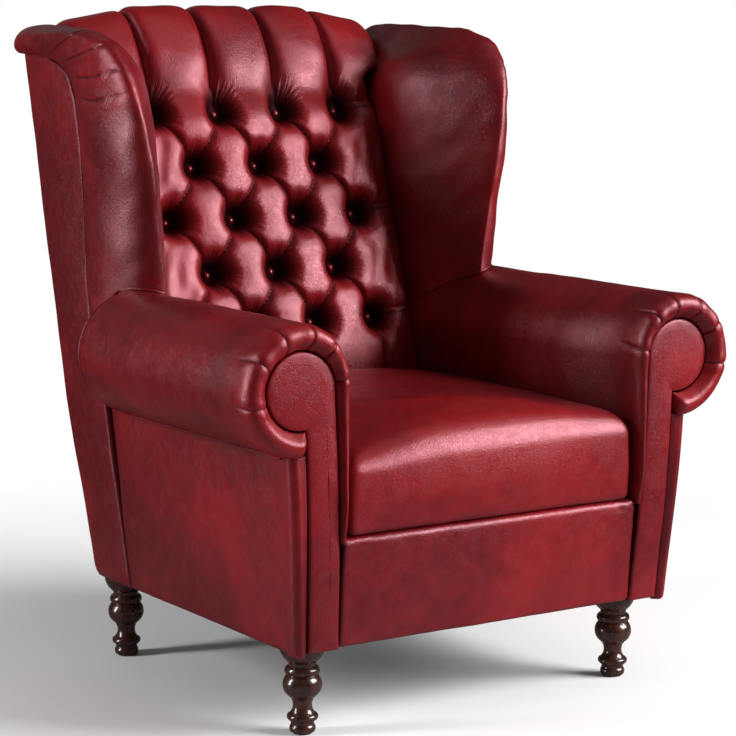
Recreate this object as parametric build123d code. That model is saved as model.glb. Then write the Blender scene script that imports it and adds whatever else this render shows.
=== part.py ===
from build123d import *
import os
from math import cos, radians, sin, sqrt, tan

os.makedirs("parts", exist_ok=True)

# Driving sizes, in millimetres and degrees.
# X runs across the chair, Y from the front of the arms to the back, Z up from the floor.
# While the chair is drawn, Y is measured from the plane of the two front facings.

# Body: the upholstered box that the legs carry
body_bottom = 137.0
side_bottom_x = 345.0
side_arm_x = 364.0
side_arm_z = 426.0
side_top_x = 372.0
side_top_z = 985.0
back_bottom_y = 642.0
back_lean = 11.8
back_top_z = 1008.0
border_half_width = 269.0
border_top = 303.0
back_half_width = 256.0

# Leather with the wadding or card behind it
back_skin = 6.0
wing_skin = 9.0
dust_cover_thickness = 1.0
dust_cover_margin = 4.0
soft_gap = 0.3

# Hardwood frame
rail_thickness = 24.0
rail_height = 100.0
rail_front_y = 24.0
rail_side_x = 335.0
upright_width = 45.0
upright_depth = 30.0
top_rail_height = 45.0
tack_rail_height = 40.0
tack_rail_z = 380.0
post_stem_width = 48.0
post_head_radius = 62.0
arm_board_width = 88.0
arm_board_thickness = 24.0
arm_tack_height = 36.0
arm_tack_z = 316.0
wing_post_depth = 40.0
wing_post_y = 520.0
wing_rail_height = 34.0
corner_block_leg = 78.0
corner_block_height = 42.0
dowel_radius = 4.0
dowel_length = 44.0
dowel_spacing = 50.0
dowel_fit = 0.1

# Arms: a round padded roll along each side, over a flat inside
arm_roll_x = 344.0
arm_roll_z = 524.0
arm_roll_radius = 97.0
arm_nose_bulge = 20.0
arm_roll_end_y = 576.0
arm_inside_top_x = 256.0
arm_inside_bottom_x = 270.0
arm_inside_thickness = 38.0
arm_inside_bottom = 290.0
arm_ring_edge = 16.0

# Front facing: a padded keyhole panel let into the front of each arm
facing_radius = 55.0
facing_inner_x = 270.0
facing_outer_x = 322.0
facing_neck_x = 336.0
facing_thickness = 24.0
facing_edge = 6.0
facing_groove = 2.0

# Wings
wing_arm_roll_x = 326.0
wing_arm_z = 620.0
wing_top_roll_x = 360.0
wing_flare_z = 925.0
wing_roll_radius = 37.0
wing_roll_y = 477.0
wing_seam_y = 600.0
wing_seam_lean = 0.11
wing_shoulder_z = 962.0
wing_top_z = 1032.0
wing_cap_inner_x = 290.0
wing_cap_rear_y = 846.0
wing_swell = 8.0

# Buttoned inside back
tuft_lean = 17.3
tuft_top_y = 720.0
tuft_top_z = 880.0
tuft_spacing = 122.0
tuft_pitch = 92.0
tuft_depth = 45.0
tuft_seam = 1.4
tuft_root = 2.0
tuft_bend_z = 452.0
lumbar_bottom = 288.0
button_radius = 7.5
button_height = 5.0
button_pocket = 10.0

# Channelled roll along the top of the back
top_roll_y = 820.0
top_roll_z = 936.0
top_roll_radius = 134.0
top_pleat_depth = 34.0
top_roll_rear_radius = 42.0

# Seat
deck_front_z = 303.0
deck_slope = 2.5
deck_cover_thickness = 2.0
deck_pad_bottom = 250.0
cushion_half_width = 252.0
cushion_front_y = 4.0
cushion_depth = 556.0
cushion_side_height = 137.0
cushion_crown = 30.0
cushion_draw_in = 7.0
cushion_corner = 24.0
cushion_round_share = 0.3
cushion_cover = 3.0
core_gap = 0.5

# Zigzag seat springs
spring_count = 5
spring_spacing = 92.0
spring_wire_radius = 1.9
spring_half_width = 22.0
spring_pitch = 30.0
clip_width = 18.0
clip_length = 22.0
clip_gauge = 1.2

# Webbing across the back
webbing_thickness = 2.0
webbing_width = 50.0
webbing_count = 5

# Turned legs
leg_top_radius = 34.5
front_leg_x = 292.0
front_leg_y = 64.0
rear_leg_x = 300.0
rear_leg_y = 605.0
glide_thickness = 3.0
glide_radius = 14.0
glide_pin_radius = 1.5
glide_pin_length = 12.0
bolt_radius = 4.0
bolt_in_leg = 38.0
bolt_clearance = 0.3
nut_flange_radius = 6.5
nut_flange_thickness = 1.5
nut_barrel_radius = 5.0
nut_barrel_length = 9.0

# One overrun serves every cut
overrun = 1.0

# The leg's turned outline, from the disc at its top down to the foot.
# Each row is one arc or line: its middle and its end, as shares of the top radius and the leg's height.
leg_outline_shares = [
    ((1.0, 0.985), (1.0, 0.970)),
    ((0.87, 0.865), (0.60, 0.790)),
    ((0.592, 0.770), (0.592, 0.750)),
    ((0.760, 0.705), (0.665, 0.652)),
    ((0.846, 0.540), (0.590, 0.415)),
    ((0.415, 0.325), (0.560, 0.225)),
    ((0.676, 0.186), (0.550, 0.146)),
    ((0.520, 0.135), (0.510, 0.100)),
    ((0.566, 0.060), (0.520, 0.022)),
]


# Surfaces of the body, as places that change with height

def side_x(z):
    """Outer face of the chair's side at height z."""
    if z <= side_arm_z:
        share = (z - body_bottom) / (side_arm_z - body_bottom)
        return side_bottom_x + (side_arm_x - side_bottom_x) * share
    share = (z - side_arm_z) / (side_top_z - side_arm_z)
    return side_arm_x + (side_top_x - side_arm_x) * share


def back_y(z):
    """Outer face of the leaning back at height z."""
    return back_bottom_y + (z - body_bottom) * tan(radians(back_lean))


def frame_back_y(z):
    """Rear face of the uprights at height z."""
    return back_y(z) - back_skin


def frame_front_y(z):
    """Front face of the uprights at height z."""
    return frame_back_y(z) - upright_depth


def pad_back_y(z):
    """Rear face of the back pad, on the webbing."""
    return frame_front_y(z) - webbing_thickness


def tuft_y(z):
    """Plane that the back's buttons are drawn down to."""
    return tuft_top_y + (z - tuft_top_z) * tan(radians(tuft_lean))


def deck_z(y):
    """Top of the seat deck, which falls towards the back."""
    return deck_front_z - (y - cushion_front_y) * tan(radians(deck_slope))


def seam_y(z):
    """Seam between a wing's roll and its outside panel."""
    return wing_seam_y + (z - wing_arm_z) * wing_seam_lean


def wing_roll_x(z):
    """Middle of a wing's front roll, which flares outwards as it rises."""
    share = (z - wing_arm_z) / (wing_flare_z - wing_arm_z)
    return wing_arm_roll_x + (wing_top_roll_x - wing_arm_roll_x) * share


# Short names for the ways a solid is drawn

def block(x0, x1, y0, y1, z0, z1):
    """A plain box between two corners."""
    return Pos((x0 + x1) / 2, (y0 + y1) / 2, (z0 + z1) / 2) * Box(x1 - x0, y1 - y0, z1 - z0)


def from_side(points, x0, x1):
    """An outline drawn in Y and Z, carried across from x0 to x1."""
    outline = make_face(Polyline([(0, y, z) for y, z in points], close=True))
    return Pos(x0, 0, 0) * extrude(outline, amount=x1 - x0, dir=(1, 0, 0))


def from_front(points, y0, y1):
    """An outline drawn in X and Z, carried back from y0 to y1."""
    outline = make_face(Polyline([(x, 0, z) for x, z in points], close=True))
    return Pos(0, y0, 0) * extrude(outline, amount=y1 - y0, dir=(0, 1, 0))


def rod(start, end, radius):
    """A round bar from one point to another."""
    start = Vector(start)
    run = Vector(end) - start
    face = Plane(origin=start, z_dir=run) * Circle(radius)
    return extrude(face, amount=run.length)


def ring_face(edges):
    """The flat face inside a closed chain of edges."""
    return Face(Wire(edges))


def single(shape):
    """The solid itself, where a cut leaves it wrapped in a group."""
    solids = shape.solids()
    return solids[0] if len(solids) == 1 else Compound(solids)


def mirrored(shape):
    """The same piece on the chair's other side."""
    return mirror(shape, about=Plane.YZ)


# Frame

def front_post():
    """Post at the front corner, with the round head that shapes the arm's scroll."""
    inner_x = rail_side_x - post_stem_width
    base = body_bottom + dust_cover_thickness
    stem = block(inner_x, rail_side_x, rail_front_y, rail_front_y + rail_thickness, base, arm_roll_z)
    head_face = Plane.XZ * Pos(arm_roll_x, arm_roll_z) * Circle(post_head_radius)
    head = Pos(0, rail_front_y, 0) * extrude(head_face, amount=rail_thickness, dir=(0, 1, 0))
    return stem + head


def front_rail():
    post_x = rail_side_x - post_stem_width
    base = body_bottom + dust_cover_thickness
    return block(-post_x, post_x, rail_front_y, rail_front_y + rail_thickness, base, base + rail_height)


def rail_rear_y():
    """Rear face of the rear rail, inside the outside back at its foot."""
    return back_bottom_y - back_skin


def rear_rail():
    inner_x = rail_side_x - rail_thickness
    base = body_bottom + dust_cover_thickness
    rear = rail_rear_y()
    return block(-inner_x, inner_x, rear - rail_thickness, rear, base, base + rail_height)


def side_rail():
    """Side rail, whose rear end follows the back's lean."""
    base = body_bottom + dust_cover_thickness
    top = base + rail_height
    front = rail_front_y + rail_thickness
    points = [(front, base), (rail_rear_y(), base), (frame_back_y(top), top), (front, top)]
    return from_side(points, rail_side_x - rail_thickness, rail_side_x)


def back_upright():
    base = body_bottom + dust_cover_thickness + rail_height
    points = [
        (frame_front_y(base), base),
        (frame_back_y(base), base),
        (frame_back_y(side_top_z), side_top_z),
        (frame_front_y(side_top_z), side_top_z),
    ]
    return from_side(points, rail_side_x - upright_width, rail_side_x)


def leaning_rail(z0, z1):
    """A rail between the two uprights, leaning as they do."""
    inner_x = rail_side_x - upright_width
    points = [
        (frame_front_y(z0), z0),
        (frame_back_y(z0), z0),
        (frame_back_y(z1), z1),
        (frame_front_y(z1), z1),
    ]
    return from_side(points, -inner_x, inner_x)


def arm_board():
    """Board under the roll, from the front post to the upright."""
    front = rail_front_y + rail_thickness
    half = arm_board_width / 2
    top = arm_roll_z + arm_board_thickness / 2
    bottom = top - arm_board_thickness
    points = [(front, bottom), (frame_front_y(bottom), bottom), (frame_front_y(top), top), (front, top)]
    return from_side(points, rail_side_x - half, rail_side_x)


def arm_tack_rail():
    """Low rail that the inside arm's lower edge is tacked to."""
    front = rail_front_y + rail_thickness
    top = arm_tack_z + arm_tack_height
    points = [
        (front, arm_tack_z),
        (frame_front_y(arm_tack_z), arm_tack_z),
        (frame_front_y(top), top),
        (front, top),
    ]
    return from_side(points, rail_side_x - rail_thickness, rail_side_x)


def wing_post():
    """Post that carries the wing's front roll, standing on the arm board."""
    base = arm_roll_z + arm_board_thickness / 2
    return block(
        rail_side_x - rail_thickness,
        rail_side_x,
        wing_post_y,
        wing_post_y + wing_post_depth,
        base,
        wing_shoulder_z,
    )


def wing_top_rail():
    """Rail from the wing post back to the upright."""
    top = wing_shoulder_z
    bottom = top - wing_rail_height
    front = wing_post_y + wing_post_depth
    points = [(front, bottom), (frame_front_y(bottom), bottom), (frame_front_y(top), top), (front, top)]
    return from_side(points, rail_side_x - rail_thickness, rail_side_x)


def leg_places():
    """The four legs' axes: front right, front left, rear right, rear left, as the sitter names them."""
    return [
        (-front_leg_x, front_leg_y),
        (front_leg_x, front_leg_y),
        (-rear_leg_x, rear_leg_y),
        (rear_leg_x, rear_leg_y),
    ]


def corner_block(x_sign, at_rear):
    """Glue block in a corner of the rails, bored for the leg's bolt."""
    corner_x = rail_side_x - rail_thickness
    base = body_bottom + dust_cover_thickness
    if at_rear:
        corner_y = rail_rear_y() - rail_thickness
        far_y = corner_y - corner_block_leg
        place = (x_sign * rear_leg_x, rear_leg_y)
    else:
        corner_y = rail_front_y + rail_thickness
        far_y = corner_y + corner_block_leg
        place = (x_sign * front_leg_x, front_leg_y)
    inner_x = corner_x - corner_block_leg
    chamfer_x = corner_x - corner_block_leg / 4
    near_y = corner_y + (far_y - corner_y) / 4
    points = [
        (x_sign * corner_x, corner_y),
        (x_sign * corner_x, far_y),
        (x_sign * chamfer_x, far_y),
        (x_sign * inner_x, near_y),
        (x_sign * inner_x, corner_y),
    ]
    outline = make_face(Polyline([(x, y, base) for x, y in points], close=True))
    body = extrude(outline, amount=corner_block_height, dir=(0, 0, 1))
    top = base + corner_block_height
    bore = rod((*place, base - overrun), (*place, top + overrun), bolt_radius + bolt_clearance)
    seat_z = top - nut_barrel_length
    barrel = rod((*place, seat_z), (*place, top + overrun), nut_barrel_radius)
    return body - bore - barrel


def corner_blocks():
    blocks = []
    for at_rear in (False, True):
        for x_sign in (-1, 1):
            blocks.append(single(corner_block(x_sign, at_rear)))
    return Compound(blocks)


def dowel_places():
    """Dowels through the front rail's ends into the posts, and through the rear rail's into the side rails."""
    places = []
    middle_z = body_bottom + dust_cover_thickness + rail_height / 2
    front_joint = rail_side_x - post_stem_width
    rear_joint = rail_side_x - rail_thickness
    for x_sign in (-1, 1):
        for z_sign in (-1, 1):
            z = middle_z + z_sign * dowel_spacing / 2
            places.append((x_sign * front_joint, rail_front_y + rail_thickness / 2, z))
            places.append((x_sign * rear_joint, rail_rear_y() - rail_thickness / 2, z))
    return places


def dowels(radius, length):
    """The dowels, or with their fit added the holes for them."""
    reach = rail_thickness / 2
    rods = []
    for x, y, z in dowel_places():
        out = 1 if x > 0 else -1
        start = (x - out * (length - reach), y, z)
        end = (x + out * reach, y, z)
        rods.append(single(rod(start, end, radius)))
    return Compound(rods)


# Legs and what holds them

def turned_leg():
    """One turned leg on the Z axis, standing on its glide."""
    height = body_bottom
    edges = [Line((0, 0, height), (leg_top_radius, 0, height))]
    last = (leg_top_radius, 0, height)
    for middle, end in leg_outline_shares:
        middle_point = (middle[0] * leg_top_radius, 0, middle[1] * height)
        end_point = (end[0] * leg_top_radius, 0, end[1] * height)
        straight = abs(middle_point[0] - (last[0] + end_point[0]) / 2) < soft_gap
        if straight:
            edges.append(Line(last, end_point))
        else:
            edges.append(ThreePointArc(last, middle_point, end_point))
        last = end_point
    foot = (last[0], 0, glide_thickness)
    edges.append(Line(last, foot))
    edges.append(Line(foot, (0, 0, glide_thickness)))
    edges.append(Line((0, 0, glide_thickness), (0, 0, height)))
    leg = revolve(ring_face(edges), axis=Axis.Z)
    bolt_hole = rod((0, 0, height - bolt_in_leg), (0, 0, height + overrun), bolt_radius)
    pin_top = glide_thickness + glide_pin_length
    pin_hole = rod((0, 0, 0), (0, 0, pin_top), glide_pin_radius)
    return leg - bolt_hole - pin_hole


def foot_glide():
    disc = rod((0, 0, 0), (0, 0, glide_thickness), glide_radius)
    pin = rod((0, 0, glide_thickness), (0, 0, glide_thickness + glide_pin_length), glide_pin_radius)
    return disc + pin


def hanger_bolt():
    """Bolt from the leg up through the corner block's nut."""
    base = body_bottom + dust_cover_thickness
    top = base + corner_block_height + nut_flange_thickness + overrun
    return rod((0, 0, body_bottom - bolt_in_leg), (0, 0, top), bolt_radius)


def tee_nut():
    top = body_bottom + dust_cover_thickness + corner_block_height
    flange = rod((0, 0, top), (0, 0, top + nut_flange_thickness), nut_flange_radius)
    barrel = rod((0, 0, top - nut_barrel_length), (0, 0, top), nut_barrel_radius)
    bore_top = top + nut_flange_thickness + overrun
    bore = rod((0, 0, top - nut_barrel_length - overrun), (0, 0, bore_top), bolt_radius)
    return flange + barrel - bore


def at_legs(shape):
    """One copy of a piece on each leg's axis."""
    return Compound([single(Pos(x, y, 0) * shape) for x, y in leg_places()])


# Seat springs, clips and deck

def spring_places():
    middle = (spring_count - 1) / 2
    return [(number - middle) * spring_spacing for number in range(spring_count)]


def spring_z():
    """Middle of the spring wire, lying on the clips' lower leaves."""
    rail_top = body_bottom + dust_cover_thickness + rail_height
    return rail_top + clip_gauge + spring_wire_radius


def zigzag_spring():
    """One zigzag spring on the Y axis, from the front rail to the rear rail."""
    front = rail_front_y + rail_thickness / 2
    rear = rail_rear_y() - rail_thickness / 2
    rows = int((rear - front) / spring_pitch)
    pitch = (rear - front) / rows
    bend = pitch / 2
    side = spring_half_width - bend
    z = spring_z()
    edges = [Line((-clip_width / 2, front, z), (side, front, z))]
    x_sign = 1
    for row in range(rows):
        y = front + row * pitch
        start = (x_sign * side, y, z)
        middle = (x_sign * (side + bend), y + bend, z)
        end = (x_sign * side, y + pitch, z)
        edges.append(ThreePointArc(start, middle, end))
        reach = clip_width / 2 if row == rows - 1 else side
        edges.append(Line(end, (-x_sign * reach, y + pitch, z)))
        x_sign = -x_sign
    path = Wire(edges)
    section = Plane(origin=path @ 0, z_dir=path % 0) * Circle(spring_wire_radius)
    return sweep(section, path=path)


def seat_springs():
    spring = zigzag_spring()
    return Compound([single(Pos(x, 0, 0) * spring) for x in spring_places()])


def spring_clip():
    """Folded steel clip that holds the end of a spring to a rail, around the Y axis at Y zero."""
    rail_top = body_bottom + dust_cover_thickness + rail_height
    half = clip_length / 2
    inside = 2 * spring_wire_radius + 2 * core_gap
    top = rail_top + clip_gauge + inside
    points = [
        (-half, rail_top),
        (half, rail_top),
        (half, rail_top + clip_gauge),
        (-half + clip_gauge, rail_top + clip_gauge),
        (-half + clip_gauge, top),
        (half, top),
        (half, top + clip_gauge),
        (-half, top + clip_gauge),
    ]
    return from_side(points, -clip_width / 2, clip_width / 2)


def spring_clips():
    """Two clips for each spring, with their folds towards the rails' outer faces."""
    front = rail_front_y + rail_thickness / 2
    rear = rail_rear_y() - rail_thickness / 2
    clip = spring_clip()
    clips = []
    for x in spring_places():
        clips.append(single(Pos(x, front, 0) * clip))
        clips.append(single(Pos(x, rear, 0) * Rot(0, 0, 180) * clip))
    return Compound(clips)


def deck_outline(bottom, top_drop):
    """Wedge under the cushion between the front border and the back pad."""
    front = rail_front_y
    rear = tuft_y(tuft_bend_z) - overrun
    return [
        (front, bottom(front)),
        (rear, bottom(rear)),
        (rear, deck_z(rear) - top_drop),
        (front, deck_z(front) - top_drop),
    ]


def deck_half_width():
    return arm_inside_top_x - soft_gap


def deck_pad():
    points = deck_outline(lambda y: deck_pad_bottom, deck_cover_thickness)
    return from_side(points, -deck_half_width(), deck_half_width())


def deck_cover():
    points = deck_outline(lambda y: deck_z(y) - deck_cover_thickness, 0)
    return from_side(points, -deck_half_width(), deck_half_width())


# Loose seat cushion

def cushion_section(y, bottom_z, side_height, crown, half_width, corner):
    """One slice across the cushion: flat below, swelling sides, rounded edges and a crowned top."""
    top_z = bottom_z + side_height
    waist = half_width - cushion_draw_in
    shoulder = cushion_round_share * corner
    low_right = (waist, y, bottom_z)
    high_right = (waist, y, top_z - corner)
    top_right = (waist - corner, y, top_z)
    low_left = (-waist, y, bottom_z)
    high_left = (-waist, y, top_z - corner)
    top_left = (corner - waist, y, top_z)
    return ring_face(
        [
            Line(low_left, low_right),
            ThreePointArc(low_right, (half_width, y, (bottom_z + top_z - corner) / 2), high_right),
            ThreePointArc(high_right, (waist - shoulder, y, top_z - shoulder), top_right),
            ThreePointArc(top_right, (0, y, top_z + crown), top_left),
            ThreePointArc(top_left, (shoulder - waist, y, top_z - shoulder), high_left),
            ThreePointArc(high_left, (-half_width, y, (bottom_z + top_z - corner) / 2), low_left),
        ]
    )


# Slices along the cushion: place from front to back, and the drop of the top and of the width there,
# as shares of the depth, of the corner and of the draw-in, then the share of the full crown.
cushion_slice_shares = [
    (0.000, 1.00, 1.60, 0.10),
    (0.012, 0.42, 0.60, 0.30),
    (0.045, 0.06, 0.10, 0.55),
    (0.250, -0.02, 0.10, 0.90),
    (0.500, -0.04, 0.35, 1.00),
    (0.750, -0.02, 0.10, 0.90),
    (0.955, 0.06, 0.10, 0.55),
    (0.988, 0.42, 0.60, 0.30),
    (1.000, 1.00, 1.60, 0.10),
]


def cushion_form(inset):
    """The cushion, or with an inset the form of what fills it."""
    sections = []
    depth = cushion_depth - 2 * inset
    for place, drop, narrow, crown in cushion_slice_shares:
        y = cushion_front_y + inset + place * depth
        bottom = deck_z(y) + soft_gap + inset
        rise = (y - cushion_front_y) * tan(radians(deck_slope))
        height = cushion_side_height + rise - drop * cushion_corner - 2 * inset
        half = cushion_half_width - narrow * cushion_draw_in - inset
        sections.append(
            cushion_section(y, bottom, height, crown * cushion_crown, half, cushion_corner)
        )
    return loft(sections)


# Arms

def arm_roll_solid(grow):
    """The arm's roll: a round bolster with a softly closed rear end and a rounded nose."""
    radius = arm_roll_radius + grow
    front = -arm_nose_bulge - grow
    end = arm_roll_end_y + grow
    flat = radius - arm_ring_edge
    edges = [
        Line((0, front, 0), (flat, front, 0)),
        TangentArc((flat, front, 0), (radius, front + arm_ring_edge, 0), tangent=(1, 0, 0)),
        Line((radius, front + arm_ring_edge, 0), (radius, end - radius, 0)),
        TangentArc((radius, end - radius, 0), (0, end, 0), tangent=(0, 1, 0)),
        Line((0, end, 0), (0, front, 0)),
    ]
    roll = revolve(ring_face(edges), axis=Axis.Y)
    return Pos(arm_roll_x, 0, arm_roll_z) * roll


def keyhole(grow, y0, y1):
    """The facing's outline, a stem under a round head, carried from y0 to y1."""
    radius = facing_radius + grow
    neck_x = facing_neck_x + grow
    neck_z = arm_roll_z - sqrt(radius**2 - (arm_roll_x - neck_x) ** 2)
    inner_foot = (facing_inner_x - grow, y0, body_bottom)
    inner_top = (arm_roll_x - radius, y0, arm_roll_z)
    outer_side = (arm_roll_x + radius, y0, arm_roll_z)
    neck = (neck_x, y0, neck_z)
    outer_foot = (facing_outer_x + grow, y0, body_bottom)
    outline = ring_face(
        [
            Line(inner_foot, inner_top),
            ThreePointArc(inner_top, (arm_roll_x, y0, arm_roll_z + radius), outer_side),
            ThreePointArc(
                outer_side,
                (arm_roll_x + radius * sqrt(0.5), y0, arm_roll_z - radius * sqrt(0.5)),
                neck,
            ),
            Line(neck, outer_foot),
            Line(outer_foot, inner_foot),
        ]
    )
    return extrude(outline, amount=y1 - y0, dir=(0, 1, 0))


def front_facing():
    """Padded panel in the arm's front, its edge rounded over."""
    back = rail_front_y
    front = back - facing_thickness
    panel = keyhole(0, front, back)
    front_edges = panel.faces().sort_by(Axis.Y)[0].edges()
    return fillet(front_edges, facing_edge)


def arm_inside_solid():
    """Padded inside of the arm, which also wraps round the front edge beside the facing."""
    base = arm_inside_bottom
    points = [
        (arm_inside_bottom_x, base),
        (arm_inside_bottom_x + arm_inside_thickness, base),
        (arm_inside_bottom_x + arm_inside_thickness, arm_roll_z),
        (arm_inside_top_x, arm_roll_z),
    ]
    return from_front(points, -arm_nose_bulge / 2, frame_front_y(base) - overrun)


def arm_pad(frame_parts):
    pad = arm_roll_solid(0) + arm_inside_solid()
    pad -= keyhole(facing_groove, -arm_nose_bulge - overrun, rail_front_y)
    for piece in frame_parts:
        pad -= piece
    return pad


def outside_arm_rear():
    """Seam between the outside arm and the outside wing."""
    return seam_y(side_arm_z) - wing_post_depth


def outside_arm():
    """Outside of the arm, from under the roll to the body's lower edge, with its return at the front."""
    top_z = arm_roll_z
    front = rail_front_y - facing_thickness + facing_edge
    points = [
        (rail_side_x, body_bottom),
        (side_bottom_x, body_bottom),
        (side_arm_x, side_arm_z),
        (side_arm_x, top_z),
        (rail_side_x, top_z),
    ]
    sheet = from_front(points, front, outside_arm_rear())
    return_points = [
        (facing_outer_x, body_bottom),
        (side_bottom_x, body_bottom),
        (side_arm_x, side_arm_z),
        (side_arm_x, top_z),
        (facing_neck_x, top_z),
        (facing_neck_x, side_arm_z),
    ]
    front_return = from_front(return_points, front, rail_front_y)
    whole = sheet + front_return
    whole -= keyhole(facing_groove, front - overrun, rail_front_y)
    return whole - arm_roll_solid(soft_gap)


# Wings

def wing_section(z, y_rear, x_rear, roll_y, radius, x_outer_rear, y_seam, swell):
    """One level slice through a wing: inside face, round front roll, outside face back to the seam."""
    middle_x = wing_roll_x(z)
    inner_rear = (x_rear, y_rear, z)
    inner_front = (middle_x - radius, roll_y, z)
    nose = (middle_x, roll_y - radius, z)
    outer_front = (middle_x + radius, roll_y, z)
    seam = (x_outer_rear, y_seam, z)
    inner_middle = (
        (inner_rear[0] + inner_front[0] - swell) / 2,
        (inner_rear[1] + inner_front[1] - swell) / 2,
        z,
    )
    outer_middle = ((outer_front[0] + seam[0]) / 2 + swell / 2, (outer_front[1] + seam[1]) / 2, z)
    return inner_rear, inner_middle, inner_front, nose, outer_front, outer_middle, seam


def wing_face(z):
    """Slice of the wing below its shoulder, back to the upright and stepped in at the seam."""
    pad_y = tuft_y(min(z, tuft_top_z)) - wing_swell
    points = wing_section(
        z, pad_y, back_half_width, wing_roll_y, wing_roll_radius, side_x(z), seam_y(z), wing_swell
    )
    inner_rear, inner_middle, inner_front, nose, outer_front, outer_middle, seam = points
    step_x = side_x(z) - wing_skin
    rear_y = pad_back_y(z)
    step = (step_x, seam[1], z)
    outer_rear = (step_x, rear_y, z)
    inside_rear = (back_half_width, rear_y, z)
    return ring_face(
        [
            ThreePointArc(inner_rear, inner_middle, inner_front),
            ThreePointArc(inner_front, nose, outer_front),
            ThreePointArc(outer_front, outer_middle, seam),
            Line(seam, step),
            Line(step, outer_rear),
            Line(outer_rear, inside_rear),
            Line(inside_rear, inner_rear),
        ]
    )


wing_level_shares = (0.0, 0.22, 0.50, 0.78, 1.0)

# Slices of the padded top of the wing: height, then how far its nose and its two sides have drawn in,
# as shares of the cap's height, of its setback and of its roll's radius.
wing_cap_shares = [
    (0.00, 0.00, 0.00),
    (0.45, 0.22, 0.16),
    (0.80, 0.62, 0.45),
    (1.00, 1.00, 0.86),
]


def wing_lower():
    base = arm_roll_z
    levels = [base + share * (wing_shoulder_z - base) for share in wing_level_shares]
    return loft([wing_face(z) for z in levels], ruled=True)


def wing_cap_face(z_share, back_share, draw_share):
    """Slice of the wing's padded top, which runs back over the frame to the rear corner."""
    z = wing_shoulder_z + z_share * (wing_top_z - wing_shoulder_z)
    draw = draw_share * wing_roll_radius
    roll_y = wing_roll_y + back_share * (seam_y(z) - wing_roll_y)
    radius = wing_roll_radius * (1 - draw_share / 2)
    middle_x = wing_top_roll_x
    x_in = wing_cap_inner_x + draw
    x_out = side_top_x + wing_skin - draw
    rear = wing_cap_rear_y - draw / 2
    bend_y = tuft_top_y - wing_swell
    inner_bend = (x_in, bend_y, z)
    inner_front = (middle_x - radius, roll_y, z)
    nose = (middle_x, roll_y - radius, z)
    outer_front = (middle_x + radius, roll_y, z)
    outer_bend = (x_out, seam_y(z), z)
    return ring_face(
        [
            Line((x_in, rear, z), inner_bend),
            Line(inner_bend, inner_front),
            ThreePointArc(inner_front, nose, outer_front),
            Line(outer_front, outer_bend),
            Line(outer_bend, (x_out, rear, z)),
            Line((x_out, rear, z), (x_in, rear, z)),
        ]
    )


def wing_cap():
    return loft([wing_cap_face(*shares) for shares in wing_cap_shares])


def wing_pad(frame_parts):
    pad = wing_lower() + wing_cap()
    pad -= arm_roll_solid(soft_gap)
    for piece in frame_parts:
        pad -= piece
    return pad


def outside_wing():
    """Outside of the wing and of the body behind the arm, down to the lower edge."""
    top = wing_shoulder_z
    profile = [
        (rail_side_x, body_bottom),
        (side_bottom_x, body_bottom),
        (side_arm_x, side_arm_z),
        (side_x(top), top),
        (side_x(top) - wing_skin, top),
        (side_arm_x - wing_skin, side_arm_z),
        (rail_side_x, side_arm_z - wing_skin),
    ]
    arm_rear = outside_arm_rear()
    band = from_front(profile, arm_rear - overrun, back_y(top) + overrun)
    outline = [
        (arm_rear, body_bottom),
        (back_y(body_bottom), body_bottom),
        (back_y(top), top),
        (seam_y(top), top),
        (seam_y(arm_roll_z), arm_roll_z),
        (arm_rear, arm_roll_z),
    ]
    panel = band & from_side(outline, 0, side_top_x + overrun)
    return panel - arm_roll_solid(soft_gap)


# Back

def tuft_plane():
    """Plane of the buttons: X across, Y up the slope, Z towards the sitter."""
    lean = radians(tuft_lean)
    return Plane(origin=(0, tuft_top_y, tuft_top_z), x_dir=(1, 0, 0), z_dir=(0, -cos(lean), sin(lean)))


def button_rows():
    """Buttons on the slope, row by row from the top: four, three, four, three and four."""
    rows = []
    for number in range(5):
        if number % 2:
            across = (-1, 0, 1)
            offset = 0
        else:
            across = (-2, -1, 0, 1)
            offset = tuft_spacing / 2
        rows.append([(step * tuft_spacing + offset, -number * tuft_pitch) for step in across])
    return rows


def lens(centre_x, v, half_width, height):
    """Slice of a puff in the buttons' frame: flat behind, arched in front."""
    plane = tuft_plane()
    left = plane.from_local_coords((centre_x - half_width, v, -tuft_root))
    right = plane.from_local_coords((centre_x + half_width, v, -tuft_root))
    crest = plane.from_local_coords((centre_x, v, height))
    return ring_face([Line(left, right), ThreePointArc(right, crest, left)])


# Slices up a puff: place from its lower to its upper tip, then half width and height,
# as shares of the row pitch, of half the spacing and of the tuft depth.
puff_shares = [
    (-0.98, 0.02, 0.08),
    (-0.72, 0.28, 0.62),
    (-0.36, 0.64, 0.93),
    (0.00, 1.00, 1.00),
    (0.36, 0.64, 0.93),
    (0.72, 0.28, 0.62),
    (0.98, 0.02, 0.08),
]


def puff_slices(centre_x, v, shares):
    """Slices of a puff about its middle, set in from the creases round it."""
    reach = tuft_pitch - tuft_seam
    half = tuft_spacing / 2 - tuft_seam
    return [
        lens(centre_x, v + place * reach, half * width, tuft_depth * height)
        for place, width, height in shares
    ]


def puff(centre_x, v):
    """One diamond of the tufting."""
    return loft(puff_slices(centre_x, v, puff_shares))


def side_puff(x_sign, v):
    """The wide puff beside the outer buttons, which runs on to the wing."""
    plane = tuft_plane()
    tip_x = tuft_spacing + tuft_seam
    edge_x = back_half_width - soft_gap
    reach = tuft_pitch - tuft_seam
    slices = []
    for across, tall, deep in side_puff_shares:
        x = x_sign * (tip_x + across * (edge_x - tip_x))
        low = plane.from_local_coords((x, v - tall * reach, -tuft_root))
        high = plane.from_local_coords((x, v + tall * reach, -tuft_root))
        crest = plane.from_local_coords((x, v, deep * tuft_depth))
        slices.append(ring_face([Line(low, high), ThreePointArc(high, crest, low)]))
    return loft(slices)


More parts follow.
